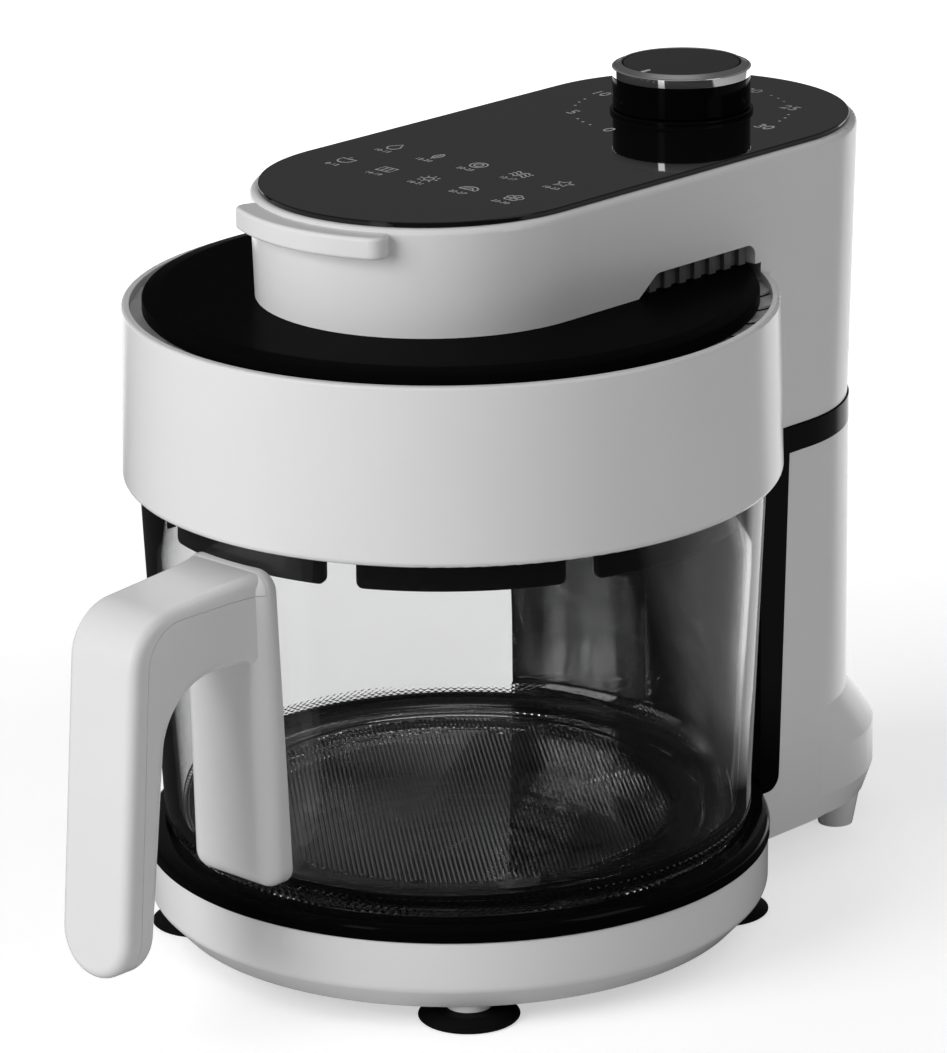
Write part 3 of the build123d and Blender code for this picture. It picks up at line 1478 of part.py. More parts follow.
with BuildPart() as handle_body:
    add(handle_form.part)
    with BuildSketch(side_plane) as outside_seam:
        with BuildLine():
            Polyline(
                (jar_y - cover_start + seam_gap, seam_level - seam_gap),
                (jar_y - grip_seam_top + seam_gap, seam_level - seam_gap),
                (jar_y - grip_seam_low + seam_gap, grip_bottom),
                (jar_y - grip_seam_low + seam_gap, 0),
                (jar_y - 2 * handle_reach, 0),
                (jar_y - 2 * handle_reach, 2 * handle_top),
                (jar_y - cover_start + seam_gap, 2 * handle_top),
                close=True,
            )
        make_face()
        seam_corner = outside_seam.vertices().sort_by_distance(seam_bend)[0]
        fillet(seam_corner, seam_radius)
    extrude(amount=2 * grip_half_width, both=True, mode=Mode.SUBTRACT)
    for level, seat, tip in handle_screw_places:
        with BuildSketch(Plane.XZ.offset(seat - jar_y)):
            with Locations((0, level)):
                Circle(screw_radius)
        extrude(amount=tip - seat, mode=Mode.SUBTRACT)
        with BuildSketch(Plane.XZ.offset(seat - jar_y)):
            with Locations((0, level)):
                Circle(screw_head_radius)
        extrude(amount=-2 * handle_screw_sink, mode=Mode.SUBTRACT)
handle_body.part.label = "handle_body"
export_step(handle_body.part, "parts/handle_body.step")

with BuildPart() as handle_screws:
    for level, seat, tip in handle_screw_places:
        with BuildSketch(Plane.XZ.offset(seat - jar_y)):
            with Locations((0, level)):
                Circle(screw_head_radius)
        extrude(amount=-screw_head_height)
        with BuildSketch(Plane.XZ.offset(seat - jar_y)):
            with Locations((0, level)):
                Circle(screw_radius)
        extrude(amount=tip - seat)
handle_screws.part.label = "handle_screws"
export_step(handle_screws.part, "parts/handle_screws.step")
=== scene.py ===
"""Looks of a countertop air fryer with a glass bowl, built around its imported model.

Every length is in metres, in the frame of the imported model: +Z up, front towards -Y.
"""

import logging
import math
from dataclasses import dataclass, field
from enum import Enum
from typing import Iterable, Sequence

import bmesh
import bpy
from mathutils import Matrix, Vector
from mathutils.geometry import delaunay_2d_cdt


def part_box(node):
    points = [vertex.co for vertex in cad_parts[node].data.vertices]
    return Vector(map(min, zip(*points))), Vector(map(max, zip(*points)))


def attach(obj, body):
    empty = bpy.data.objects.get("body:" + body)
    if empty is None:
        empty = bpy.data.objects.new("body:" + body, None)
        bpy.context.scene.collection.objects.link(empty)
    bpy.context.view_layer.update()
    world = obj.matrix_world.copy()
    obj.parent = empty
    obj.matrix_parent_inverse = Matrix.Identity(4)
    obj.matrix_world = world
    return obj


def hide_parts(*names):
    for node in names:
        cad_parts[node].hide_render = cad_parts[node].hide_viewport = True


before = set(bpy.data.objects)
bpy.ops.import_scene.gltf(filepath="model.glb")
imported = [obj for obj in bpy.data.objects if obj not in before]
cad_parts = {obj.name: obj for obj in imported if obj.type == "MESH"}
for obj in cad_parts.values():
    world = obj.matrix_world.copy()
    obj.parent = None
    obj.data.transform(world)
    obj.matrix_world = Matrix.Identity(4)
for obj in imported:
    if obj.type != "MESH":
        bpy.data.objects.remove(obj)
log = logging.getLogger("air_fryer")

Point2 = tuple[float, float]
Point3 = tuple[float, float, float]
Face = tuple[int, ...]
Input = bpy.types.NodeSocket | float
ColourInput = bpy.types.NodeSocket | Point3

COLOUR_MIX_INPUTS, COLOUR_MIX_OUTPUT = (6, 7), 2
NUMBER_MIX_INPUTS, NUMBER_MIX_OUTPUT = (2, 3), 0
NOISE_MIDDLE = 0.5


class Body(Enum):
    """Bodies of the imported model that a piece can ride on."""

    BASE = "base"
    HEAD = "head"
    IMPELLER = "impeller"
    KNOB = "knob"
    BOWL = "bowl"


class Slot(Enum):
    """Material slots, each with its finish."""

    WHITE_SHELL = "white_shell"
    BLACK_GLOSS = "black_gloss"
    BLACK_MATTE = "black_matte"
    GREY_GRILLE = "grey_grille"
    BLACK_RUBBER = "black_rubber"
    SILICONE = "silicone"
    CLEAR_GLASS = "clear_glass"
    CHROME = "chrome"
    STEEL = "steel"
    ALUMINIUM = "aluminium"
    POINTER_WHITE = "pointer_white"


# Meshes


@dataclass(frozen=True)
class Corner:
    """One corner of an outline, and the radius that rounds it."""

    x: float
    y: float
    radius: float = 0.0


def rounded(corners: Sequence[Corner], steps: int = 7, closed: bool = True) -> list[Point2]:
    """Trace an outline through its corners, each rounded by an arc.

    Args:
        corners: Corners in order.
        steps: Segments of each arc.
        closed: Whether the last corner joins the first one.

    Returns:
        Points of the outline in order.
    """
    points: list[Point2] = []
    count = len(corners)
    for index, corner in enumerate(corners):
        here = Vector((corner.x, corner.y))
        is_end = not closed and index in (0, count - 1)
        if corner.radius == 0 or is_end:
            points.append((here.x, here.y))
            continue
        last, following = corners[index - 1], corners[(index + 1) % count]
        back = (Vector((last.x, last.y)) - here).normalized()
        ahead = (Vector((following.x, following.y)) - here).normalized()
        half = back.angle(ahead) / 2
        start = here + back * corner.radius / math.tan(half)
        centre = here + (back + ahead).normalized() * corner.radius / math.sin(half)
        first = start - centre
        turn = math.pi - 2 * half
        if back.x * ahead.y - back.y * ahead.x > 0:
            turn = -turn
        for step in range(steps + 1):
            angle = turn * step / steps
            spun = Vector((
                first.x * math.cos(angle) - first.y * math.sin(angle),
                first.x * math.sin(angle) + first.y * math.cos(angle),
            ))
            points.append((centre.x + spun.x, centre.y + spun.y))
    return points


def mesh_object(
    name: str, vertices: Sequence[Point3], faces: Sequence[Face], sharp: float = 35.0
) -> bpy.types.Object:
    """Make a mesh object with merged points, outward faces and smooth shading.

    Args:
        name: Name of the piece.
        vertices: Points of the mesh.
        faces: Faces as indices into the points.
        sharp: Angle in degrees above which an edge stays sharp.

    Returns:
        The new object, linked to the scene.
    """
    mesh = bpy.data.meshes.new(name)
    mesh.from_pydata(vertices, [], faces)
    obj = bpy.data.objects.new(name, mesh)
    bpy.context.scene.collection.objects.link(obj)
    finish_mesh(obj, sharp)
    return obj


def finish_mesh(obj: bpy.types.Object, sharp: float = 35.0) -> None:
    """Merge double points, turn faces outwards and shade smooth up to an angle.

    Args:
        obj: Mesh object to clean.
        sharp: Angle in degrees above which an edge stays sharp.
    """
    merge_distance = 1e-6
    shape = bmesh.new()
    shape.from_mesh(obj.data)
    bmesh.ops.remove_doubles(shape, verts=shape.verts, dist=merge_distance)
    bmesh.ops.dissolve_degenerate(shape, edges=shape.edges, dist=merge_distance)
    bmesh.ops.recalc_face_normals(shape, faces=shape.faces)
    shape.to_mesh(obj.data)
    shape.free()
    obj.data.shade_smooth()
    obj.data.set_sharp_from_angle(angle=math.radians(sharp))


def lathe(
    name: str,
    profile: Sequence[Point2],
    axis: Vector,
    steps: int = 160,
    sharp: float = 35.0,
) -> bpy.types.Object:
    """Turn a closed profile of radius and height round an upright axis.

    Args:
        name: Name of the piece.
        profile: Closed outline as (radius, height).
        axis: A point on the axis.
        steps: Segments round the axis.
        sharp: Angle in degrees above which an edge stays sharp.

    Returns:
        The turned piece.
    """
    vertices: list[Point3] = []
    faces: list[Face] = []
    rows = len(profile)
    for step in range(steps):
        angle = math.tau * step / steps
        for radius, height in profile:
            vertices.append((axis.x + radius * math.cos(angle), axis.y + radius * math.sin(angle), height))
        here, ahead = step * rows, (step + 1) % steps * rows
        for row in range(rows):
            above = (row + 1) % rows
            faces.append((here + row, ahead + row, ahead + above, here + above))
    return mesh_object(name, vertices, faces, sharp)


def ring_faces(rings: int, count: int, closed: bool = False) -> list[Face]:
    """List the quads between rings of equal point counts.

    Args:
        rings: Number of rings.
        count: Points of each ring.
        closed: Whether the last ring joins the first.

    Returns:
        Faces as indices, ring after ring.
    """
    faces: list[Face] = []
    for ring in range(rings if closed else rings - 1):
        ahead = (ring + 1) % rings
        for index in range(count):
            beside = (index + 1) % count
            faces.append((
                ring * count + index,
                ring * count + beside,
                ahead * count + beside,
                ahead * count + index,
            ))
    return faces


def loft(name: str, rings: Sequence[Sequence[Point3]], sharp: float = 35.0) -> bpy.types.Object:
    """Skin rings of equal point counts and close both ends.

    Args:
        name: Name of the piece.
        rings: Rings of points in order.
        sharp: Angle in degrees above which an edge stays sharp.

    Returns:
        The closed piece.
    """
    count = len(rings[0])
    vertices = [point for ring in rings for point in ring]
    faces = ring_faces(len(rings), count)
    faces.append(tuple(range(count)))
    faces.append(tuple(range(len(vertices) - count, len(vertices))))
    return mesh_object(name, vertices, faces, sharp)


def prism(
    name: str, outline: Sequence[Point2], bottom: float, top: float, edge: float = 0.0
) -> bpy.types.Object:
    """Raise an outline into a plate with softened edges above and below.

    Args:
        name: Name of the piece.
        outline: Closed outline as (x, y).
        bottom: Height of the lower face.
        top: Height of the upper face.
        edge: Width of the softened edge, or 0 for none.

    Returns:
        The plate.
    """
    obj = loft(name, [[(x, y, bottom) for x, y in outline], [(x, y, top) for x, y in outline]])
    if edge > 0:
        shape = bmesh.new()
        shape.from_mesh(obj.data)
        tolerance, upright = 1e-6, 0.9
        flat = [
            rim
            for rim in shape.edges
            if abs(rim.verts[0].co.z - rim.verts[1].co.z) < tolerance
            and any(abs(side.normal.z) > upright for side in rim.link_faces)
        ]
        bmesh.ops.bevel(shape, geom=flat, offset=edge, segments=2, affect="EDGES", profile=0.5)
        shape.to_mesh(obj.data)
        shape.free()
        finish_mesh(obj)
    return obj


def joined(name: str, objects: Sequence[bpy.types.Object], sharp: float = 35.0) -> bpy.types.Object:
    """Join meshes into one object.

    Args:
        name: Name of the joined piece.
        objects: Mesh objects, which are used up.
        sharp: Angle in degrees above which an edge stays sharp.

    Returns:
        The joined piece.
    """
    shape = bmesh.new()
    for obj in objects:
        shape.from_mesh(obj.data)
        bpy.data.objects.remove(obj)
    mesh = bpy.data.meshes.new(name)
    shape.to_mesh(mesh)
    shape.free()
    obj = bpy.data.objects.new(name, mesh)
    bpy.context.scene.collection.objects.link(obj)
    mesh.shade_smooth()
    mesh.set_sharp_from_angle(angle=math.radians(sharp))
    return obj


def cut(
    obj: bpy.types.Object, cutters: Iterable[bpy.types.Object], sharp: float = 35.0
) -> bpy.types.Object:
    """Cut closed shapes out of a piece and delete them.

    Args:
        obj: Piece to cut.
        cutters: Closed mesh objects, which are used up.
        sharp: Angle in degrees above which an edge stays sharp.

    Returns:
        The same piece, cut.
    """
    for cutter in cutters:
        modifier = obj.modifiers.new("cut", "BOOLEAN")
        modifier.operation = "DIFFERENCE"
        modifier.solver = "EXACT"
        modifier.object = cutter
        graph = bpy.context.evaluated_depsgraph_get()
        mesh = bpy.data.meshes.new_from_object(obj.evaluated_get(graph))
        obj.modifiers.clear()
        obj.data = mesh
        bpy.data.objects.remove(cutter)
    finish_mesh(obj, sharp)
    return obj


def axis_of(node: str) -> Vector:
    """Give the middle of a node, seen from above, as a point on its upright axis.

    Args:
        node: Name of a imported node.

    Returns:
        The point, at floor level.
    """
    low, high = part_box(node)
    return Vector(((low.x + high.x) / 2, (low.y + high.y) / 2, 0.0))


# Shader node groups


def add_socket(
    group: bpy.types.NodeTree, name: str, direction: str, kind: str, value: float | None = None
) -> None:
    """Add one named socket to a node group's interface.

    Args:
        group: Node group to extend.
        name: Name of the socket.
        direction: INPUT or OUTPUT.
        kind: Socket type.
        value: Default value, for an input.
    """
    socket = group.interface.new_socket(name=name, in_out=direction, socket_type=kind)
    if value is not None:
        socket.default_value = value


def math_node(
    tree: bpy.types.NodeTree, operation: str, first: Input, second: Input
) -> bpy.types.NodeSocket:
    """Add a Math node.

    Args:
        tree: Tree that gets the node.
        operation: Name of the operation.
        first: Socket or number for the first input.
        second: Socket or number for the second input.

    Returns:
        The node's output socket.
    """
    node = tree.nodes.new("ShaderNodeMath")
    node.operation = operation
    for index, value in enumerate((first, second)):
        if isinstance(value, bpy.types.NodeSocket):
            tree.links.new(value, node.inputs[index])
        else:
            node.inputs[index].default_value = value
    return node.outputs[0]


def noise_node(
    tree: bpy.types.NodeTree, vector: bpy.types.NodeSocket, scale: Input, detail: float
) -> bpy.types.NodeSocket:
    """Add a Noise Texture.

    Args:
        tree: Tree that gets the node.
        vector: Coordinates to read.
        scale: Socket or number for the scale.
        detail: Octaves of finer noise.

    Returns:
        The node's factor output.
    """
    node = tree.nodes.new("ShaderNodeTexNoise")
    node.inputs["Detail"].default_value = detail
    tree.links.new(vector, node.inputs["Vector"])
    if isinstance(scale, bpy.types.NodeSocket):
        tree.links.new(scale, node.inputs["Scale"])
    else:
        node.inputs["Scale"].default_value = scale
    return node.outputs["Fac"]


def mapped(
    tree: bpy.types.NodeTree, value: bpy.types.NodeSocket, source: Point2, target: Point2
) -> bpy.types.NodeSocket:
    """Add a clamped Map Range node.

    Args:
        tree: Tree that gets the node.
        value: Value to map.
        source: Range of the value.
        target: Range of the result.

    Returns:
        The node's output socket.
    """
    node = tree.nodes.new("ShaderNodeMapRange")
    tree.links.new(value, node.inputs["Value"])
    node.inputs["From Min"].default_value = source[0]
    node.inputs["From Max"].default_value = source[1]
    node.inputs["To Min"].default_value = target[0]
    node.inputs["To Max"].default_value = target[1]
    return node.outputs["Result"]


def is_zero(tree: bpy.types.NodeTree, count: bpy.types.NodeSocket) -> bpy.types.NodeSocket:
    """Test whether a count, such as a ray's depth, is 0.

    Args:
        tree: Tree that gets the node.
        count: Whole number from 0 up.

    Returns:
        The socket of a mask that is 1 where the count is 0.
    """
    return math_node(tree, "LESS_THAN", count, 0.5)


def choose(
    tree: bpy.types.NodeTree, mask: bpy.types.NodeSocket, without: Input, within: Input
) -> bpy.types.NodeSocket:
    """Choose between two numbers by a mask.

    Args:
        tree: Tree that gets the node.
        mask: Mask from 0 to 1.
        without: Socket or number where the mask is 0.
        within: Socket or number where the mask is 1.

    Returns:
        The chosen number's socket.
    """
    node = tree.nodes.new("ShaderNodeMix")
    tree.links.new(mask, node.inputs[0])
    for index, value in zip(NUMBER_MIX_INPUTS, (without, within)):
        if isinstance(value, bpy.types.NodeSocket):
            tree.links.new(value, node.inputs[index])
        else:
            node.inputs[index].default_value = value
    return node.outputs[NUMBER_MIX_OUTPUT]


def mixed_colour(
    tree: bpy.types.NodeTree, mask: bpy.types.NodeSocket, without: ColourInput, within: ColourInput
) -> bpy.types.NodeSocket:
    """Mix two colours by a mask.

    Args:
        tree: Tree that gets the node.
        mask: Mask from 0 to 1.
        without: Socket or colour where the mask is 0.
        within: Socket or colour where the mask is 1.

    Returns:
        The mixed colour's socket.
    """
    node = tree.nodes.new("ShaderNodeMix")
    node.data_type = "RGBA"
    tree.links.new(mask, node.inputs[0])
    for index, value in zip(COLOUR_MIX_INPUTS, (without, within)):
        if isinstance(value, bpy.types.NodeSocket):
            tree.links.new(value, node.inputs[index])
        else:
            node.inputs[index].default_value = (*value, 1)
    return node.outputs[COLOUR_MIX_OUTPUT]


def moulded_skin_group() -> bpy.types.NodeTree:
    """Build the skin of an injection moulding: fine grain, flow marks and a change in gloss.

    Returns:
        Group with inputs Scale, Roughness Base and Gloss Range, and outputs Height, Roughness and Tone.
    """
    flow_scale, flow_share, flow_contrast = 14.0, 0.35, (0.3, 0.7)
    gloss_scale = 38.0
    group = bpy.data.node_groups.new("moulded_skin", "ShaderNodeTree")
    add_socket(group, "Scale", "INPUT", "NodeSocketFloat", 900.0)
    add_socket(group, "Roughness Base", "INPUT", "NodeSocketFloat", 0.3)
    add_socket(group, "Gloss Range", "INPUT", "NodeSocketFloat", 0.05)
    add_socket(group, "Height", "OUTPUT", "NodeSocketFloat")
    add_socket(group, "Roughness", "OUTPUT", "NodeSocketFloat")
    add_socket(group, "Tone", "OUTPUT", "NodeSocketFloat")
    inputs = group.nodes.new("NodeGroupInput")
    outputs = group.nodes.new("NodeGroupOutput")
    place = group.nodes.new("ShaderNodeTexCoord").outputs["Object"]
    grain = noise_node(group, place, inputs.outputs["Scale"], 3.0)
    sink = noise_node(group, place, flow_scale, 2.0)
    height = math_node(group, "MULTIPLY_ADD", sink, flow_share)
    group.links.new(grain, height.node.inputs[2])
    swing = math_node(group, "SUBTRACT", noise_node(group, place, gloss_scale, 4.0), NOISE_MIDDLE)
    change = math_node(group, "MULTIPLY", swing, inputs.outputs["Gloss Range"])
    rough = math_node(group, "ADD", change, inputs.outputs["Roughness Base"])
    group.links.new(height, outputs.inputs["Height"])
    group.links.new(rough, outputs.inputs["Roughness"])
    group.links.new(mapped(group, sink, flow_contrast, (0.0, 1.0)), outputs.inputs["Tone"])
    return group


def fine_dust_group() -> bpy.types.NodeTree:
    """Build dust that settles on faces that look up.

    Returns:
        Group with inputs Amount and Size, and output Mask.
    """
    face_up = (0.5, 1.0)
    speck_contrast = (0.62, 0.78)
    patch_scale, patch_contrast, patch_range = 22.0, (0.35, 0.75), (0.15, 1.0)
    group = bpy.data.node_groups.new("fine_dust", "ShaderNodeTree")
    add_socket(group, "Amount", "INPUT", "NodeSocketFloat", 0.1)
    add_socket(group, "Size", "INPUT", "NodeSocketFloat", 1400.0)
    add_socket(group, "Mask", "OUTPUT", "NodeSocketFloat")
    inputs = group.nodes.new("NodeGroupInput")
    outputs = group.nodes.new("NodeGroupOutput")
    place = group.nodes.new("ShaderNodeTexCoord").outputs["Object"]
    normal = group.nodes.new("ShaderNodeSeparateXYZ")
    group.links.new(group.nodes.new("ShaderNodeNewGeometry").outputs["Normal"], normal.inputs[0])
    upward = mapped(group, normal.outputs["Z"], face_up, (0.0, 1.0))
    speckle = noise_node(group, place, inputs.outputs["Size"], 2.0)
    specks = mapped(group, speckle, speck_contrast, (0.0, 1.0))
    patches = mapped(group, noise_node(group, place, patch_scale, 3.0), patch_contrast, patch_range)
    dust = math_node(group, "MULTIPLY", math_node(group, "MULTIPLY", specks, patches), upward)
    group.links.new(math_node(group, "MULTIPLY", dust, inputs.outputs["Amount"]), outputs.inputs["Mask"])
    return group


def drawn_metal_group() -> bpy.types.NodeTree:
    """Build the fine lines that rolling, drawing or spinning leaves in metal.

    Returns:
        Group with inputs Stretch, Roughness Base and Gloss Range, and outputs Height and Roughness.
    """
    group = bpy.data.node_groups.new("drawn_metal", "ShaderNodeTree")
    group.interface.new_socket(name="Stretch", in_out="INPUT", socket_type="NodeSocketVector")
    add_socket(group, "Roughness Base", "INPUT", "NodeSocketFloat", 0.3)
    add_socket(group, "Gloss Range", "INPUT", "NodeSocketFloat", 0.1)
    add_socket(group, "Height", "OUTPUT", "NodeSocketFloat")
    add_socket(group, "Roughness", "OUTPUT", "NodeSocketFloat")
    inputs = group.nodes.new("NodeGroupInput")
    outputs = group.nodes.new("NodeGroupOutput")
    mapping = group.nodes.new("ShaderNodeMapping")
    group.links.new(group.nodes.new("ShaderNodeTexCoord").outputs["Object"], mapping.inputs["Vector"])
    group.links.new(inputs.outputs["Stretch"], mapping.inputs["Scale"])
    lines = noise_node(group, mapping.outputs["Vector"], 1.0, 5.0)
    swing = math_node(group, "SUBTRACT", lines, NOISE_MIDDLE)
    change = math_node(group, "MULTIPLY", swing, inputs.outputs["Gloss Range"])
    group.links.new(lines, outputs.inputs["Height"])
    rough = math_node(group, "ADD", change, inputs.outputs["Roughness Base"])
    group.links.new(rough, outputs.inputs["Roughness"])
    return group


@dataclass
class NodeGroups:
    """The node groups that the finishes share, each built once."""

    skin: bpy.types.NodeTree = field(default_factory=moulded_skin_group)
    dust: bpy.types.NodeTree = field(default_factory=fine_dust_group)
    metal: bpy.types.NodeTree = field(default_factory=drawn_metal_group)


# Finishes


@dataclass(frozen=True)
class Finish:
    """A finish with a plain principled shader, which the other finishes extend."""

    name: str

    def start(self) -> tuple[bpy.types.Material, bpy.types.NodeTree, bpy.types.Node]:
        """Make the material with its shader.

        Returns:
            The material, its node tree and its Principled BSDF node.
        """
        material = bpy.data.materials.new(self.name)
        material.use_nodes = True
        tree = material.node_tree
        return material, tree, tree.nodes["Principled BSDF"]

    def place_group(
        self, tree: bpy.types.NodeTree, group: bpy.types.NodeTree, values: dict[str, float | Point3]
    ) -> bpy.types.Node:
        """Place a shared node group with its own values.

        Args:
            tree: Tree of the material.
            group: Group to place.
            values: Value of each input by its name.

        Returns:
            The group node.
        """
        node = tree.nodes.new("ShaderNodeGroup")
        node.node_tree = group
        for key, value in values.items():
            node.inputs[key].default_value = value
        return node

    def bump(
        self, tree: bpy.types.NodeTree, shader: bpy.types.Node, height: bpy.types.NodeSocket, depth: float
    ) -> None:
        """Feed a height into the shader's normal.

        Args:
            tree: Tree of the material.
            shader: Principled BSDF node.
            height: Height from 0 to 1.
            depth: Depth of the relief in metres.
        """
        node = tree.nodes.new("ShaderNodeBump")
        node.inputs["Distance"].default_value = depth
        tree.links.new(height, node.inputs["Height"])
        tree.links.new(node.outputs["Normal"], shader.inputs["Normal"])


@dataclass(frozen=True)
class MouldedPlastic(Finish):
    """Injection-moulded plastic, rubber or silicone."""

    colour: Point3
    roughness: float
    gloss_range: float = 0.05
    grain_scale: float = 900.0
    grain_depth: float = 0.000004
    tone: float = 0.03
    specular: float = 0.5
    dust: float = 0.0
    dust_colour: Point3 = (0.5, 0.49, 0.47)

    def build(self, groups: NodeGroups) -> bpy.types.Material:
        """Build the material.

        Args:
            groups: Shared node groups.

        Returns:
            The material.
        """
        material, tree, shader = self.start()
        skin = self.place_group(tree, groups.skin, {
            "Scale": self.grain_scale,
            "Roughness Base": self.roughness,
            "Gloss Range": self.gloss_range,
        })
        darker = tuple(channel * (1 - self.tone) for channel in self.colour)
        colour = mixed_colour(tree, skin.outputs["Tone"], darker, self.colour)
        if self.dust > 0:
            dust = self.place_group(tree, groups.dust, {"Amount": self.dust})
            colour = mixed_colour(tree, dust.outputs["Mask"], colour, self.dust_colour)
        tree.links.new(colour, shader.inputs["Base Color"])
        tree.links.new(skin.outputs["Roughness"], shader.inputs["Roughness"])
        shader.inputs["Specular IOR Level"].default_value = self.specular
        self.bump(tree, shader, skin.outputs["Height"], self.grain_depth)
        return material


@dataclass(frozen=True)
class WorkedMetal(Finish):
    """Metal with rolled, drawn or spun lines."""

    colour: Point3
    roughness: float
    gloss_range: float = 0.08
    stretch: Point3 = (40.0, 40.0, 2200.0)
    line_depth: float = 0.000003

    def build(self, groups: NodeGroups) -> bpy.types.Material:
        """Build the material.

        Args:
            groups: Shared node groups.

        Returns:
            The material.
        """
        material, tree, shader = self.start()
        metal = self.place_group(tree, groups.metal, {
            "Stretch": self.stretch,
            "Roughness Base": self.roughness,
            "Gloss Range": self.gloss_range,
        })
        shader.inputs["Base Color"].default_value = (*self.colour, 1)
        shader.inputs["Metallic"].default_value = 1.0
        tree.links.new(metal.outputs["Roughness"], shader.inputs["Roughness"])
        self.bump(tree, shader, metal.outputs["Height"], self.line_depth)
        return material


@dataclass(frozen=True)
class PressedGlass(Finish):
    """Clear pressed glass with a faint waviness."""

    colour: Point3 = (0.905, 0.908, 0.907)
    roughness: float = 0.0
    ior: float = 1.45
    wave_scale: float = 26.0
    wave_depth: float = 0.00001

    def build(self, groups: NodeGroups) -> bpy.types.Material:
        """Build the material.

        Args:
            groups: Shared node groups, of which glass uses none.

        Returns:
            The material.
        """
        material, tree, shader = self.start()
        shader.inputs["Base Color"].default_value = (*self.colour, 1)
        shader.inputs["Roughness"].default_value = self.roughness
        shader.inputs["IOR"].default_value = self.ior
        shader.inputs["Transmission Weight"].default_value = 1.0
        place = tree.nodes.new("ShaderNodeTexCoord").outputs["Object"]
        self.bump(tree, shader, noise_node(tree, place, self.wave_scale, 1.0), self.wave_depth)
        return material


FINISHES: dict[Slot, Finish] = {
    Slot.WHITE_SHELL: MouldedPlastic(
        "white_gloss_plastic", (0.80, 0.80, 0.80), 0.22, grain_depth=0.000002, tone=0.02
    ),
    Slot.BLACK_GLOSS: MouldedPlastic(
        "black_gloss_plastic", (0.002, 0.002, 0.002), 0.1, grain_depth=0.000001, specular=0.05, dust=0.004
    ),
    Slot.BLACK_MATTE: MouldedPlastic(
        "black_satin_plastic", (0.004, 0.004, 0.004), 0.38, gloss_range=0.1, grain_depth=0.000008,
        specular=0.08, dust=0.015,
    ),
    Slot.GREY_GRILLE: MouldedPlastic(
        "grey_satin_plastic", (0.11, 0.11, 0.11), 0.45, gloss_range=0.1, grain_depth=0.000008
    ),
    Slot.BLACK_RUBBER: MouldedPlastic(
        "black_rubber", (0.006, 0.006, 0.006), 0.42, gloss_range=0.15, grain_scale=1500.0,
        grain_depth=0.00001, specular=0.03, dust=0.004,
    ),
    Slot.SILICONE: MouldedPlastic(
        "grey_silicone", (0.05, 0.05, 0.05), 0.5, gloss_range=0.1, grain_depth=0.000004
    ),
    Slot.POINTER_WHITE: MouldedPlastic(
        "white_print", (0.62, 0.62, 0.62), 0.45, gloss_range=0.05, grain_depth=0.000001
    ),
    Slot.CLEAR_GLASS: PressedGlass("clear_pressed_glass"),
    Slot.CHROME: WorkedMetal(
        "chrome_plating", (0.86, 0.86, 0.86), 0.06, 0.03, (30.0, 30.0, 60.0), 0.0000004
    ),
    Slot.STEEL: WorkedMetal("stainless_steel", (0.56, 0.56, 0.55), 0.26),
    Slot.ALUMINIUM: WorkedMetal("spun_aluminium", (0.76, 0.76, 0.77), 0.3, 0.1, (900.0, 900.0, 900.0)),
}
PANEL_FINISH = MouldedPlastic(
    "black_mirror_panel", (0.005, 0.005, 0.005), 0.03, gloss_range=0.01, grain_depth=0.0000002, dust=0.02
)
LID_FINISH = MouldedPlastic(
    "black_lid_plastic", (0.003, 0.003, 0.003), 0.3, gloss_range=0.06, grain_depth=0.000002,
    specular=0.002, dust=0.008,
)
INSERT_FINISH = MouldedPlastic(
    "charcoal_insert", (0.03, 0.03, 0.03), 0.5, gloss_range=0.05, grain_depth=0.000003
)
BEVEL_FINISH = WorkedMetal(
    "satin_chrome", (0.50, 0.50, 0.50), 0.34, 0.06, (500.0, 500.0, 500.0), 0.000002
)
PRINT_FINISH = MouldedPlastic("grey_panel_print", (0.55, 0.55, 0.55), 0.5, grain_depth=0.000001)
# Near-black sheet under the louvre vanes: painted shade that stands for the dark inside of the head, seen
# through the slits.
SLIT_SHADE_FINISH = MouldedPlastic(
    "painted_slit_shade", (0.004, 0.004, 0.004), 0.7, grain_depth=0.000002, specular=0.2
)


@dataclass
class Paintbox:
    """Builds each finish once and hands out its material."""

    groups: NodeGroups = field(default_factory=NodeGroups)
    made: dict[str, bpy.types.Material] = field(default_factory=dict)

    def material(self, finish: Finish) -> bpy.types.Material:
        """Give the material of a finish.

        Args:
            finish: The finish wanted.

        Returns:
            Its material.
        """
        if finish.name not in self.made:
            self.made[finish.name] = finish.build(self.groups)
        return self.made[finish.name]

    def paint(self, obj: bpy.types.Object, finish: Finish) -> None:
        """Give a mesh one finish all over.

        Args:
            obj: Mesh object to paint.
            finish: Its finish.
        """
        obj.data.materials.clear()
        obj.data.materials.append(self.material(finish))


@dataclass
class SubAssembly:
    """Common ground of the sub-assemblies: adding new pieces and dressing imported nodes."""

    paintbox: Paintbox

    def add(
        self,
        obj: bpy.types.Object,
        body: Body,
        slot: Slot,
        replaces: Sequence[str] = (),
        finish: Finish | None = None,
    ) -> bpy.types.Object:
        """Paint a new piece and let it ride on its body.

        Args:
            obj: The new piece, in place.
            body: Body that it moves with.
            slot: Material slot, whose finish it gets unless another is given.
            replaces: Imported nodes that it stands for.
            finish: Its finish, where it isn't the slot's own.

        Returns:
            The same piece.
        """
        self.paintbox.paint(obj, finish or FINISHES[slot])
        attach(obj, body.value)
        if replaces:
            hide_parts(*replaces)
        log.info("piece %s rides on %s", obj.name, body.value)
        return obj

    def dress(self, node: str, slot: Slot, finish: Finish | None = None) -> None:
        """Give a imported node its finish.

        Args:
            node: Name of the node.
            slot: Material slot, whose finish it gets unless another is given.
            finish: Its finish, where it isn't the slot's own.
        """
        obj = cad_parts[node]
        self.paintbox.paint(obj, finish or FINISHES[slot])
        log.info("node %s is %s", node, (finish or FINISHES[slot]).name)


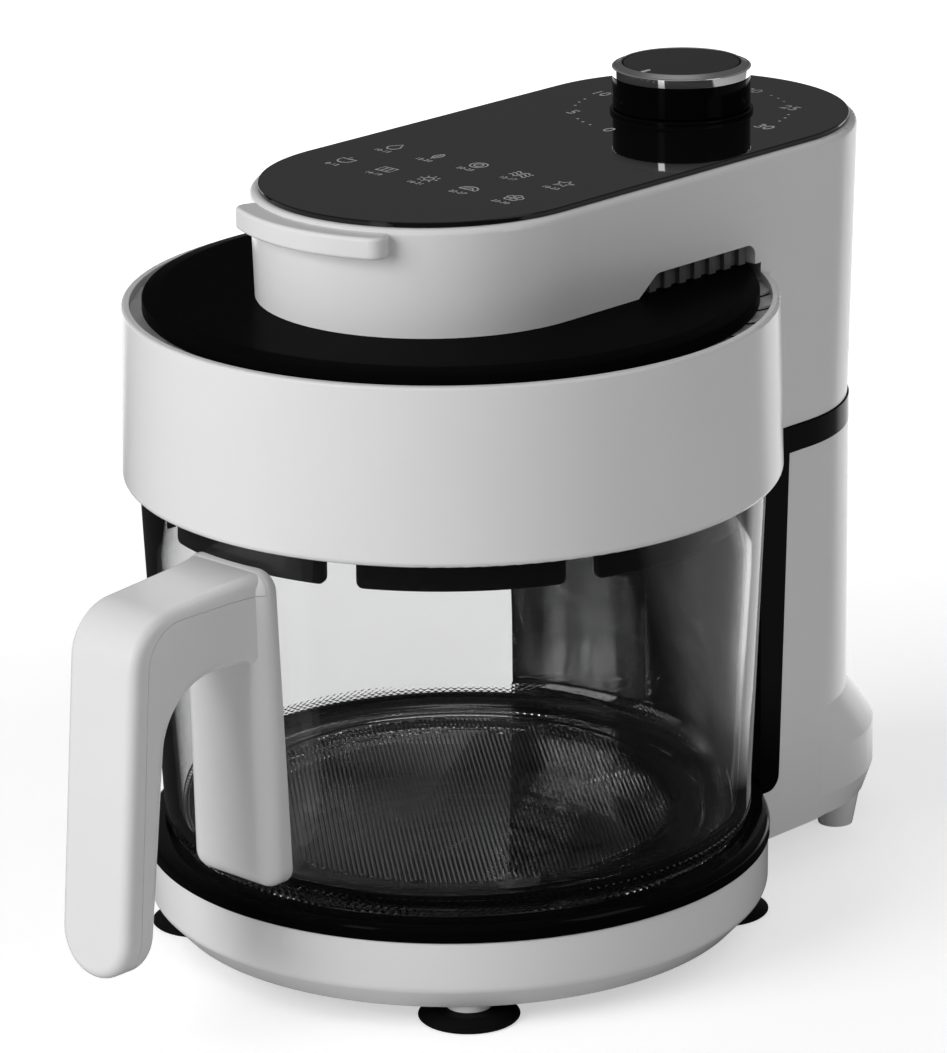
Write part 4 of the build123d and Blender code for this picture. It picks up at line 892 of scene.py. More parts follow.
@dataclass
class BaseUnit(SubAssembly):
    """Round base: white pan, bottom cover, seat ring, pads and suction feet."""

    pan_wall: float = 0.0026
    pan_fold_height: float = 0.0090
    pan_fold_width: float = 0.0085
    pan_fold_radius: float = 0.0045
    pan_inner_fold_radius: float = 0.003
    pan_draft: float = 0.0002
    pan_rim_width: float = 0.014
    pan_rim_radius: float = 0.0007
    pan_foot_radius: float = 0.0008
    pan_foot_height: float = 0.0014
    shoulder_radius: float = 0.0034
    shoulder_drop: float = 0.0012
    seat_floor: float = 0.0022
    seat_edge_radius: float = 0.0006
    lip_inset: float = 0.0079
    lip_width: float = 0.0008
    lip_foot_width: float = 0.0024
    lip_radius: float = 0.0009
    lip_foot_radius: float = 0.0012
    screw_head_radius: float = 0.0030
    screw_head_height: float = 0.0013
    screw_crown_inset: float = 0.0006
    screw_shank_radius: float = 0.0014
    cross_reach: float = 0.0016
    cross_width: float = 0.0005
    cross_depth: float = 0.0008
    cup_lip_height: float = 0.0009
    cup_hollow: float = 0.0020
    cup_neck: float = 0.0041
    dome_radius: float = 0.0125
    collar_radius: float = 0.0095
    plug_radius: float = 0.0079
    stem_radius: float = 0.0029
    axis: Vector = field(default_factory=lambda: axis_of("base_shell"))

    def build(self) -> None:
        """Build the whole base."""
        self.pan()
        self.seat()
        self.feet()
        self.screws()
        self.dress("base_plate", Slot.BLACK_MATTE)
        self.dress("chassis_plate", Slot.STEEL)
        self.dress("seat_pads", Slot.SILICONE)
        self.dress("foot_stems", Slot.WHITE_SHELL)

    def pan(self) -> None:
        """Turn the white pan with its soft fold."""
        low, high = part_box("base_shell")
        radius = (high.x - low.x) / 2
        foot = radius - self.pan_fold_width
        fold = low.z + self.pan_fold_height
        inner_fold = fold + 0.001
        profile = rounded([
            Corner(foot, low.z, self.pan_foot_radius),
            Corner(radius - self.pan_draft, fold, self.pan_fold_radius),
            Corner(radius, high.z, self.pan_rim_radius),
            Corner(radius - self.pan_rim_width, high.z),
            Corner(radius - self.pan_rim_width, high.z - self.pan_wall),
            Corner(radius - self.pan_wall, high.z - self.pan_wall),
            Corner(radius - self.pan_wall, inner_fold, self.pan_inner_fold_radius),
            Corner(foot - self.pan_wall, low.z + self.pan_foot_height),
            Corner(foot - self.pan_wall, low.z),
        ])
        self.add(lathe("base_pan", profile, self.axis, 200), Body.BASE, Slot.WHITE_SHELL, ["base_shell"])

    def seat(self) -> None:
        """Turn the black seat ring with its rounded shoulder and lip."""
        low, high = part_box("seat_tray")
        radius = (high.x - low.x) / 2
        floor = low.z + self.seat_floor
        lip = radius - self.lip_inset
        profile = rounded([
            Corner(0, low.z),
            Corner(radius, low.z, self.seat_edge_radius),
            Corner(radius, high.z - self.shoulder_drop, self.shoulder_radius),
            Corner(lip + self.lip_width, high.z, self.lip_radius),
            Corner(lip - self.lip_foot_width, floor, self.lip_foot_radius),
            Corner(0, floor),
        ])
        self.add(lathe("seat_ring", profile, self.axis, 200), Body.BASE, Slot.BLACK_GLOSS, ["seat_tray"])

    def feet(self) -> None:
        """Turn four suction feet, each with a thin lip, a dome and a collar."""
        for index in range(1, 5):
            node = f"suction_foot_{index}"
            low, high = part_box(node)
            radius = (high.x - low.x) / 2
            profile = rounded([
                Corner(0, self.cup_hollow),
                Corner(radius * 0.45, self.cup_hollow - 0.0003, 0.01),
                Corner(radius - 0.0034, 0.0),
                Corner(radius - 0.0010, 0.0, 0.0004),
                Corner(radius, self.cup_lip_height, 0.0005),
                Corner(radius - 0.0020, self.cup_hollow, 0.0010),
                Corner(self.dome_radius, self.cup_neck - 0.0004, 0.004),
                Corner(self.collar_radius, self.cup_neck - 0.0002, 0.0003),
                Corner(self.plug_radius, self.cup_neck, 0.0002),
                Corner(self.stem_radius, self.cup_neck),
                Corner(self.stem_radius, high.z - 0.0003, 0.0003),
                Corner(0, high.z),
            ])
            foot = lathe(f"suction_cup_{index}", profile, axis_of(node), 96)
            self.add(foot, Body.BASE, Slot.BLACK_RUBBER, [node])

    def screws(self) -> None:
        """Turn the bottom screws and cut a cross into each head."""
        low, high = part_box("base_screws")
        spots = [
            (side_x, side_y)
            for side_x in (low.x + self.screw_head_radius, high.x - self.screw_head_radius)
            for side_y in (low.y + self.screw_head_radius, high.y - self.screw_head_radius)
        ]
        screws = []
        shoulder = low.z + self.screw_head_height
        profile = rounded([
            Corner(0, low.z),
            Corner(self.screw_head_radius - self.screw_crown_inset, low.z, 0.001),
            Corner(self.screw_head_radius, low.z + 0.0007, 0.0004),
            Corner(self.screw_head_radius, shoulder),
            Corner(self.screw_shank_radius, shoulder),
            Corner(self.screw_shank_radius, high.z),
            Corner(0, high.z),
        ])
        for x, y in spots:
            screw = lathe("screw", profile, Vector((x, y, 0)), 40)
            centre = Vector((x, y, low.z))
            cross = cross_cutters(centre, self.cross_reach, self.cross_width, self.cross_depth)
            screws.append(cut(screw, cross))
        self.add(joined("bottom_screws", screws), Body.BASE, Slot.STEEL, ["base_screws"])


def cross_cutters(centre: Vector, reach: float, width: float, depth: float) -> list[bpy.types.Object]:
    """Make the two bars of a cross recess that opens downwards.

    Args:
        centre: Middle of the head's outer face.
        reach: Half length of a bar.
        width: Width of a bar.
        depth: Depth of the recess.

    Returns:
        Two closed bars.
    """
    bars = []
    for long_x, long_y in ((reach, width / 2), (width / 2, reach)):
        outline = [
            (centre.x - long_x, centre.y - long_y),
            (centre.x + long_x, centre.y - long_y),
            (centre.x + long_x, centre.y + long_y),
            (centre.x - long_x, centre.y + long_y),
        ]
        bars.append(prism("bar", outline, centre.z - depth, centre.z + depth))
    return bars


@dataclass
class Column(SubAssembly):
    """Column behind the bowl, with its hinge."""

    def build(self) -> None:
        """Dress the column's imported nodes."""
        self.dress("column_shell", Slot.WHITE_SHELL)
        for node in ("column_floor", "rear_foot_right", "rear_foot_left"):
            self.dress(node, Slot.WHITE_SHELL)
        self.dress("column_trim", Slot.BLACK_GLOSS)
        self.dress("column_band", Slot.BLACK_GLOSS)
        self.dress("mains_inlet", Slot.BLACK_RUBBER)
        for node in ("hinge_leaf_base", "hinge_leaf_head", "hinge_pin"):
            self.dress(node, Slot.STEEL)
        for half in ("base", "head"):
            self.dress(f"hinge_screws_{half}", Slot.STEEL)


@dataclass
class Head(SubAssembly):
    """White head with its black lid, louvre vanes and side grilles."""

    vane_count: int = 40
    vane_gap: float = 0.0009
    vane_drop: float = 0.0012
    vane_lean: float = math.radians(3.5)
    vane_length: float = 0.0114
    vane_thickness: float = 0.0009
    # Overlap and thickness of the near-black sheet of painted shade under the vanes.
    shade_sheet_lap: float = 0.0006
    floor_thickness: float = 0.0004
    lid_bore: float = 0.006
    lid_chamfer: float = 0.001
    lid_edge_radius: float = 0.0009
    lid_slope_radius: float = 0.004
    lid_slope_width: float = 0.0061
    lid_slope_drop: float = 0.0010
    axis: Vector = field(default_factory=lambda: axis_of("drum_disc"))

    def build(self) -> None:
        """Build the head."""
        self.dress("head_shell", Slot.WHITE_SHELL)
        self.lid()
        self.vanes()
        for side in ("left", "right"):
            self.dress(f"outlet_grille_{side}", Slot.GREY_GRILLE)

    def lid(self) -> None:
        """Turn the black lid: a low plateau with a sloping, softened rim."""
        low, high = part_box("drum_disc")
        radius = (high.x - low.x) / 2
        profile = rounded([
            Corner(self.lid_bore, low.z),
            Corner(radius - self.lid_chamfer, low.z),
            Corner(radius, low.z + self.lid_chamfer),
            Corner(radius, high.z - self.lid_slope_drop, self.lid_edge_radius),
            Corner(radius - self.lid_slope_width, high.z, self.lid_slope_radius),
            Corner(self.lid_bore, high.z),
        ])
        lid = lathe("drum_lid", profile, self.axis, 220)
        self.add(lid, Body.HEAD, Slot.BLACK_GLOSS, ["drum_disc"], LID_FINISH)

    def vanes(self) -> None:
        """Make the ring of leaning vanes in the gap round the lid, over a near-black sheet that paints the
        shade in the slits between them.
        """
        low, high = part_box("louvre_ring")
        outer = (high.x - low.x) / 2
        inner = outer - self.vane_length
        share = math.tau / self.vane_count
        rows, columns = 6, 5
        vanes = []
        for index in range(self.vane_count):
            rings = []
            for column in range(columns + 1):
                part = column / columns
                ring_top, ring_low = [], []
                for row in range(rows + 1):
                    out = row / rows
                    radius = inner + (outer - inner) * out
                    gap = self.vane_gap / radius
                    bow = self.vane_lean * out**2
                    angle = index * share + bow + part * (share - gap)
                    drop = self.vane_drop * part
                    x = self.axis.x + radius * math.cos(angle)
                    y = self.axis.y + radius * math.sin(angle)
                    ring_top.append((x, y, high.z - drop))
                    ring_low.append((x, y, high.z - drop - self.vane_thickness))
                rings.append(ring_top + ring_low[::-1])
            vanes.append(loft("vane", rings))
        # A thin near-black ring under the vanes paints the shade seen through the slits between them.
        ring = [
            (inner - self.shade_sheet_lap, low.z),
            (outer, low.z),
            (outer, low.z + self.floor_thickness),
            (inner - self.shade_sheet_lap, low.z + self.floor_thickness),
        ]
        vane_ring = joined("louvre_vanes", vanes)
        self.add(vane_ring, Body.HEAD, Slot.WHITE_SHELL, ["louvre_ring"])
        floor = lathe("louvre_slit_shade", ring, self.axis, 160)
        self.add(floor, Body.HEAD, Slot.BLACK_MATTE, finish=SLIT_SHADE_FINISH)


class Motif(Enum):
    """Plain pictograms for the panel."""

    DROP = "drop"
    LEAF = "leaf"
    RINGS = "rings"
    WAVES = "waves"
    STAR = "star"
    CUP = "cup"
    GRID = "grid"
    SUN = "sun"
    HILL = "hill"
    PETALS = "petals"


@dataclass
class ControlPanel(SubAssembly):
    """Black mirror panel on the arm, with its dial numbers, marks and pictograms."""

    dial_radius: float = 0.0390
    number_count: int = 7
    minutes_per_number: int = 5
    digit_height: float = 0.0056
    digit_step: float = math.radians(45.0)
    size_per_height: float = 1.35
    dots_between: int = 5
    dot_radius: float = 0.00055
    print_lift: float = 0.00003
    print_thickness: float = 0.00004
    icon_size: float = 0.0080
    icon_pitch: float = 0.0200
    label_height: float = 0.0024
    label_drop: float = 0.0068
    first_minutes: tuple[int, ...] = (10, 15, 20, 12, 18, 8, 14, 16, 22, 25)
    minutes_span: int = 5
    icon_rows: tuple[float, float] = (0.0150, -0.0100)
    line_width: float = 0.00055

    def build(self) -> None:
        """Build the panel and its print."""
        self.dress("top_panel", Slot.BLACK_GLOSS, PANEL_FINISH)
        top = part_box("top_panel")[1].z + self.print_lift
        centre = axis_of("dial_ring")
        self.numbers(centre, top)
        self.dots(centre, top)
        self.pictograms(axis_of("glass_bowl"), top)

    def numbers(self, centre: Vector, level: float) -> None:
        """Print the minutes round the knob.

        Args:
            centre: Axis of the knob.
            level: Height of the print.
        """
        texts = []
        for index in range(self.number_count):
            angle = -math.pi / 2 - index * self.digit_step
            place = centre + Vector((math.cos(angle), math.sin(angle), 0)) * self.dial_radius
            place.z = level
            texts.append(self.text(str(index * self.minutes_per_number), place, self.digit_height))
        self.add(joined("dial_numbers", texts), Body.HEAD, Slot.POINTER_WHITE, finish=PRINT_FINISH)

    def text(self, words: str, place: Vector, height: float) -> bpy.types.Object:
        """Set digits flat on the panel, centred on a point.

        Args:
            words: Digits to set.
            place: Middle of the digits.
            height: Height of a digit.

        Returns:
            The digits as a mesh.
        """
        curve = bpy.data.curves.new("digits", "FONT")
        curve.body = words
        curve.align_x = "CENTER"
        curve.align_y = "CENTER"
        curve.size = height * self.size_per_height
        curve.extrude = self.print_thickness / 2
        holder = bpy.data.objects.new("digits", curve)
        bpy.context.scene.collection.objects.link(holder)
        graph = bpy.context.evaluated_depsgraph_get()
        mesh = bpy.data.meshes.new_from_object(holder.evaluated_get(graph))
        bpy.data.objects.remove(holder)
        mesh.transform(Matrix.Translation(place))
        obj = bpy.data.objects.new("digits", mesh)
        bpy.context.scene.collection.objects.link(obj)
        return obj

    def dots(self, centre: Vector, level: float) -> None:
        """Print the minute dots between the numbers.

        Args:
            centre: Axis of the knob.
            level: Height of the print.
        """
        steps = self.dots_between + 1
        spots = []
        for index in range((self.number_count - 1) * steps):
            if index % steps in (0, 1, steps - 1):
                continue
            angle = -math.pi / 2 - index * self.digit_step / steps
            spots.append(centre + Vector((math.cos(angle), math.sin(angle), 0)) * self.dial_radius)
        dots = [self.disc(Vector((spot.x, spot.y, level)), self.dot_radius) for spot in spots]
        self.add(joined("minute_dots", dots), Body.HEAD, Slot.POINTER_WHITE, finish=PRINT_FINISH)

    def disc(self, place: Vector, radius: float) -> bpy.types.Object:
        """Print one dot.

        Args:
            place: Its middle.
            radius: Its radius.

        Returns:
            A thin disc.
        """
        steps = 14
        outline = []
        for step in range(steps):
            angle = math.tau * step / steps
            outline.append((place.x + radius * math.cos(angle), place.y + radius * math.sin(angle)))
        half = self.print_thickness / 2
        return prism("dot", outline, place.z - half, place.z + half)

    def stroke(self, points: Sequence[Point2], level: float, closed: bool = False) -> bpy.types.Object:
        """Print one line of constant width through points.

        Args:
            points: Points of the line.
            level: Height of the print.
            closed: Whether the line ends where it starts.

        Returns:
            A thin ribbon.
        """
        count = len(points)
        rings = []
        for index, (x, y) in enumerate(points):
            last = points[index - 1] if closed or index > 0 else points[0]
            following = points[(index + 1) % count] if closed or index < count - 1 else points[-1]
            along = (Vector(following) - Vector(last)).normalized()
            side = Vector((-along.y, along.x)) * self.line_width / 2
            half = self.print_thickness / 2
            rings.append([
                (x + side.x, y + side.y, level - half),
                (x - side.x, y - side.y, level - half),
                (x - side.x, y - side.y, level + half),
                (x + side.x, y + side.y, level + half),
            ])
        if not closed:
            return loft("line", rings)
        vertices = [point for ring in rings for point in ring]
        return mesh_object("line", vertices, ring_faces(len(rings), 4, closed=True))

    def pictograms(self, centre: Vector, level: float) -> None:
        """Print two rows of plain pictograms, each over a small pair of numbers.

        Args:
            centre: Axis of the bowl, from which the rows are measured.
            level: Height of the print.
        """
        columns = len(Motif) // len(self.icon_rows)
        prints = []
        for index, (motif, start) in enumerate(zip(Motif, self.first_minutes)):
            row, column = divmod(index, columns)
            x = centre.x + (column - (columns - 1) / 2) * self.icon_pitch
            y = centre.y + self.icon_rows[row]
            for points, closed in motif_lines(motif, self.icon_size / 2):
                prints.append(self.stroke([(x + px, y + py) for px, py in points], level, closed))
            label = f"{start}-{start + self.minutes_span}"
            prints.append(self.text(label, Vector((x, y - self.label_drop, level)), self.label_height))
        self.add(joined("panel_pictograms", prints), Body.HEAD, Slot.POINTER_WHITE, finish=PRINT_FINISH)


def arc_points(
    x: float, y: float, radius: float, start: float, end: float, steps: int = 18
) -> list[Point2]:
    """List points on an arc.

    Args:
        x: Centre across.
        y: Centre along.
        radius: Radius of the arc.
        start: First angle in degrees.
        end: Last angle in degrees.
        steps: Segments of the arc.

    Returns:
        The points from start to end.
    """
    angles = [math.radians(start + (end - start) * step / steps) for step in range(steps + 1)]
    return [(x + radius * math.cos(angle), y + radius * math.sin(angle)) for angle in angles]


def circle_points(x: float, y: float, radius: float, steps: int = 17) -> list[Point2]:
    """List points round a circle, for a line that closes it.

    Args:
        x: Centre across.
        y: Centre along.
        radius: Radius of the circle.
        steps: Segments before the closing one.

    Returns:
        The points in order.
    """
    return arc_points(x, y, radius, 0, 340, steps)


def motif_lines(motif: Motif, size: float) -> list[tuple[list[Point2], bool]]:
    """Draw a pictogram as lines.

    Args:
        motif: Which pictogram.
        size: Half its width.

    Returns:
        Lines as points, each with whether it is closed.
    """
    if motif is Motif.DROP:
        body = arc_points(0, -0.25 * size, 0.62 * size, -205, 25)
        return [(body + [(0, 0.95 * size)], True)]
    if motif is Motif.LEAF:
        near = arc_points(-0.5 * size, 0, 1.0 * size, -50, 50)
        far = arc_points(0.78 * size, 0, 1.0 * size, 130, 230)
        return [(near + far[1:-1], True), ([(0.14 * size, -1.0 * size), (0.14 * size, 0.45 * size)], False)]
    if motif is Motif.RINGS:
        return [(circle_points(0, 0, 0.8 * size), True), (circle_points(0, 0, 0.42 * size), True)]
    if motif is Motif.WAVES:
        lines = []
        for level in (-0.5, 0.0, 0.5):
            points = [
                (size * (-1 + step / 8), size * (level + 0.16 * math.sin(math.tau * step / 8)))
                for step in range(17)
            ]
            lines.append((points, False))
        return lines
    if motif is Motif.STAR:
        points = []
        for step in range(10):
            reach = 0.95 * size if step % 2 == 0 else 0.42 * size
            angle = math.pi / 2 + math.tau * step / 10
            points.append((reach * math.cos(angle), reach * math.sin(angle)))
        return [(points, True)]
    if motif is Motif.CUP:
        belly = arc_points(0, 0.1 * size, 0.8 * size, 200, 340)
        cup = [(-0.85 * size, 0.5 * size), *belly, (0.85 * size, 0.5 * size)]
        return [(cup, True), ([(-0.3 * size, 0.7 * size), (-0.2 * size, 1.05 * size)], False)]
    if motif is Motif.GRID:
        wide, high = 0.8 * size, 0.6 * size
        box = [(-wide, -high), (wide, -high), (wide, high), (-wide, high)]
        bars = [([(place * size, -high), (place * size, high)], False) for place in (-0.27, 0.27)]
        return [(box, True)] + bars
    if motif is Motif.SUN:
        rays = []
        for step in range(8):
            angle = math.tau * step / 8
            ray = [(reach * math.cos(angle), reach * math.sin(angle)) for reach in (0.68 * size, size)]
            rays.append((ray, False))
        return [(circle_points(0, 0, 0.45 * size), True)] + rays
    if motif is Motif.HILL:
        foot = -0.5 * size
        return [
            (arc_points(0, foot, 0.95 * size, 0, 180), True),
            (arc_points(0, foot, 0.5 * size, 0, 180), False),
        ]
    petals = []
    for step in range(5):
        angle = math.tau * step / 5 + math.pi / 2
        x, y = 0.5 * size * math.cos(angle), 0.5 * size * math.sin(angle)
        petals.append((circle_points(x, y, 0.36 * size, 14), True))
    return petals


@dataclass
class Knob(SubAssembly):
    """Timer knob: base ring, black body, bright ring, insert and pointer."""

    bevel_inner: float = 0.0214
    groove: float = 0.0006
    pointer_length: float = 0.0046
    pointer_width: float = 0.0015
    pointer_margin: float = 0.0004
    pointer_edge: float = 0.00012
    pointer_lift: float = 0.00005
    spindle_bore: float = 0.0031
    base_bore: float = 0.0036
    base_edge_radius: float = 0.0008
    hub_radius: float = 0.0060
    skirt_wall: float = 0.0022
    roof_drop: float = 0.0024
    socket_drop: float = 0.0015
    band_seam: float = 0.0004
    band_lap: float = 0.0001
    band_width: float = 0.0016
    bevel_height: float = 0.0014
    axis: Vector = field(default_factory=lambda: axis_of("knob_body"))

    def build(self) -> None:
        """Build the knob and the ring under it."""
        self.base_ring()
        self.body()
        self.bright_ring()
        self.insert()
        self.dress("timer_spindle", Slot.STEEL)
        self.dress("timer", Slot.BLACK_MATTE)

    def base_ring(self) -> None:
        """Turn the fixed ring on the panel."""
        low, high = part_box("dial_ring")
        radius = (high.x - low.x) / 2
        profile = rounded([
            Corner(self.base_bore, low.z),
            Corner(radius, low.z),
            Corner(radius, high.z, self.base_edge_radius),
            Corner(self.base_bore, high.z),
        ])
        ring = lathe("knob_base_ring", profile, self.axis, 128)
        self.add(ring, Body.HEAD, Slot.BLACK_GLOSS, ["dial_ring"])

    def body(self) -> None:
        """Turn the black body with softened lower edge and a fine groove."""
        low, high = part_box("knob_body")
        ring_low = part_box("knob_ring")[0].z
        radius = (high.x - low.x) / 2
        inside, seat = radius - self.skirt_wall, self.bevel_inner - 0.0003
        roof, socket = ring_low - self.roof_drop, ring_low - self.socket_drop
        shoulder = ring_low - self.band_lap
        profile = rounded([
            Corner(self.spindle_bore, low.z),
            Corner(self.hub_radius, low.z),
            Corner(self.hub_radius, roof),
            Corner(inside, roof),
            Corner(inside, low.z),
            Corner(radius, low.z, 0.0006),
            Corner(radius, ring_low - self.band_seam),
            Corner(radius - self.band_seam, shoulder),
            Corner(seat, shoulder),
            Corner(seat, high.z),
            Corner(0, high.z),
            Corner(0, socket),
            Corner(self.spindle_bore, socket),
        ])
        self.add(lathe("knob_skirt", profile, self.axis, 160), Body.KNOB, Slot.BLACK_GLOSS, ["knob_body"])

    def bright_ring(self) -> None:
        """Turn the polished band and the satin bevel above it."""
        low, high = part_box("knob_ring")
        radius = (high.x - low.x) / 2
        edge = high.z - self.bevel_height
        crest = edge + self.band_lap
        band = rounded([
            Corner(radius - self.band_width, low.z),
            Corner(radius, low.z, 0.0002),
            Corner(radius, edge, 0.0003),
            Corner(radius - 0.0010, crest),
        ])
        bevel = rounded([
            Corner(self.bevel_inner, low.z),
            Corner(radius - 0.0018, low.z),
            Corner(radius - 0.0011, crest),
            Corner(self.bevel_inner + 0.0004, high.z, 0.0003),
            Corner(self.bevel_inner, high.z - 0.0003),
        ])
        self.add(lathe("knob_band", band, self.axis, 160), Body.KNOB, Slot.CHROME, ["knob_ring"])
        self.add(lathe("knob_bevel", bevel, self.axis, 160), Body.KNOB, Slot.CHROME, finish=BEVEL_FINISH)

    def insert(self) -> None:
        """Turn the charcoal insert, notch it and lay the pointer in the notch."""
        low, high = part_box("knob_insert")
        radius = self.bevel_inner - self.groove
        profile = rounded([
            Corner(0, low.z),
            Corner(radius, low.z),
            Corner(radius, high.z, 0.0002),
            Corner(0, high.z),
        ])
        insert = lathe("knob_cap", profile, self.axis, 160)
        start = self.axis.y - self.bevel_inner
        tip = start + self.pointer_length
        half, through = self.pointer_width / 2, 0.001
        notch = self.tongue(half + self.pointer_margin, start - through, tip + 0.0005)
        cut(insert, [prism("notch", notch, low.z - through, high.z + through)])
        self.add(insert, Body.KNOB, Slot.BLACK_MATTE, ["knob_insert"], INSERT_FINISH)
        bar = self.tongue(half, start, tip)
        pointer = prism("knob_mark", bar, low.z, high.z + self.pointer_lift, self.pointer_edge)
        self.add(pointer, Body.KNOB, Slot.POINTER_WHITE, ["knob_pointer"])

    def tongue(self, half: float, start: float, tip: float) -> list[Point2]:
        """Outline a bar on the knob's middle line with a rounded tip.

        Args:
            half: Half its width.
            start: Its straight end along Y.
            tip: Its rounded end along Y.

        Returns:
            Points of the outline.
        """
        roundness = 0.98 * half
        return rounded([
            Corner(self.axis.x - half, start),
            Corner(self.axis.x + half, start),
            Corner(self.axis.x + half, tip, roundness),
            Corner(self.axis.x - half, tip, roundness),
        ])


@dataclass
class HotAirUnit(SubAssembly):
    """What hangs inside the head: flange, guard, seal, grille, heater, fans and motor."""

    guard_outer: float = 0.1043
    guard_inner: float = 0.1017
    guard_corner: float = 0.0022
    gap_count: int = 8
    gap_width: float = 0.0115
    gap_height: float = 0.0100
    flange_width: float = 0.0032
    seal_width: float = 0.0056
    axis: Vector = field(default_factory=lambda: axis_of("bowl_frame"))

    def build(self) -> None:
        """Build the flange, the guard and the seal, and dress the rest."""
        self.frame_ring()
        self.guard_ring()
        self.seal()
        self.dress("fan_grille", Slot.STEEL)
        self.dress("reflector", Slot.ALUMINIUM)
        self.dress("heating_element", Slot.STEEL)
        self.dress("hot_air_fan", Slot.ALUMINIUM)
        self.dress("cooling_fan", Slot.BLACK_MATTE)
        self.dress("motor", Slot.STEEL)
        self.dress("motor_shaft", Slot.STEEL)

    def frame_ring(self) -> None:
        """Turn the flange over the rim of the bowl."""
        low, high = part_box("bowl_frame")
        inner, outer = self.guard_inner - self.flange_width, (high.x - low.x) / 2
        flange = rounded([
            Corner(inner, low.z, 0.0008),
            Corner(outer, low.z, 0.0006),
            Corner(outer, high.z),
            Corner(inner, high.z),
        ])
        self.add(lathe("rim_flange", flange, self.axis, 200), Body.HEAD, Slot.BLACK_MATTE, ["bowl_frame"])

    def guard_ring(self) -> None:
        """Turn the guard's upper ring and hang its curved segments under it."""
        low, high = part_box("bowl_guard")
        gap_top = low.z + self.gap_height
        ring = [
            (self.guard_inner, gap_top),
            (self.guard_outer, gap_top),
            (self.guard_outer, high.z),
            (self.guard_inner, high.z),
        ]
        parts = [lathe("ring", ring, self.axis, 200)]
        share = math.tau / self.gap_count
        span = share - self.gap_width / self.guard_outer
        columns = 36
        for index in range(self.gap_count):
            middle = index * share - math.pi / 2
            rings = []
            for column in range(columns + 1):
                ratio = 0.5 - 0.5 * math.cos(math.pi * column / columns)
                angle = middle + (ratio - 0.5) * span
                run = min(ratio, 1 - ratio) * span * self.guard_outer
                lift = 0.0
                if run < self.guard_corner:
                    short = self.guard_corner - run
                    lift = self.guard_corner - math.sqrt(self.guard_corner**2 - short**2)
                rings.append(self.guard_section(angle, low.z + lift, gap_top))
            parts.append(loft("segment", rings))
        self.add(joined("rim_guard", parts), Body.HEAD, Slot.BLACK_MATTE, ["bowl_guard"])

    def guard_section(self, angle: float, bottom: float, top: float) -> list[Point3]:
        """Give the cross-section of the guard at one angle.

        Args:
            angle: Angle round the axis.
            bottom: Lower edge.
            top: Upper edge.

        Returns:
            Points round the section.
        """
        soft = 0.0005
        section = rounded([
            Corner(self.guard_inner, bottom, soft),
            Corner(self.guard_outer, bottom, soft),
            Corner(self.guard_outer, top),
            Corner(self.guard_inner, top),
        ], steps=3)
        return [
            (self.axis.x + radius * math.cos(angle), self.axis.y + radius * math.sin(angle), height)
            for radius, height in section
        ]

    def seal(self) -> None:
        """Turn the silicone seal over the rim of the bowl."""
        low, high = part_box("bowl_seal")
        outer = (high.x - low.x) / 2
        inner = outer - self.seal_width
        profile = rounded([
            Corner(inner, low.z, 0.0004),
            Corner(outer, low.z, 0.0005),
            Corner(outer, high.z, 0.0003),
            Corner(inner, high.z, 0.0003),
        ], steps=4)
        self.add(lathe("rim_seal", profile, self.axis, 180), Body.HEAD, Slot.SILICONE, ["bowl_seal"])


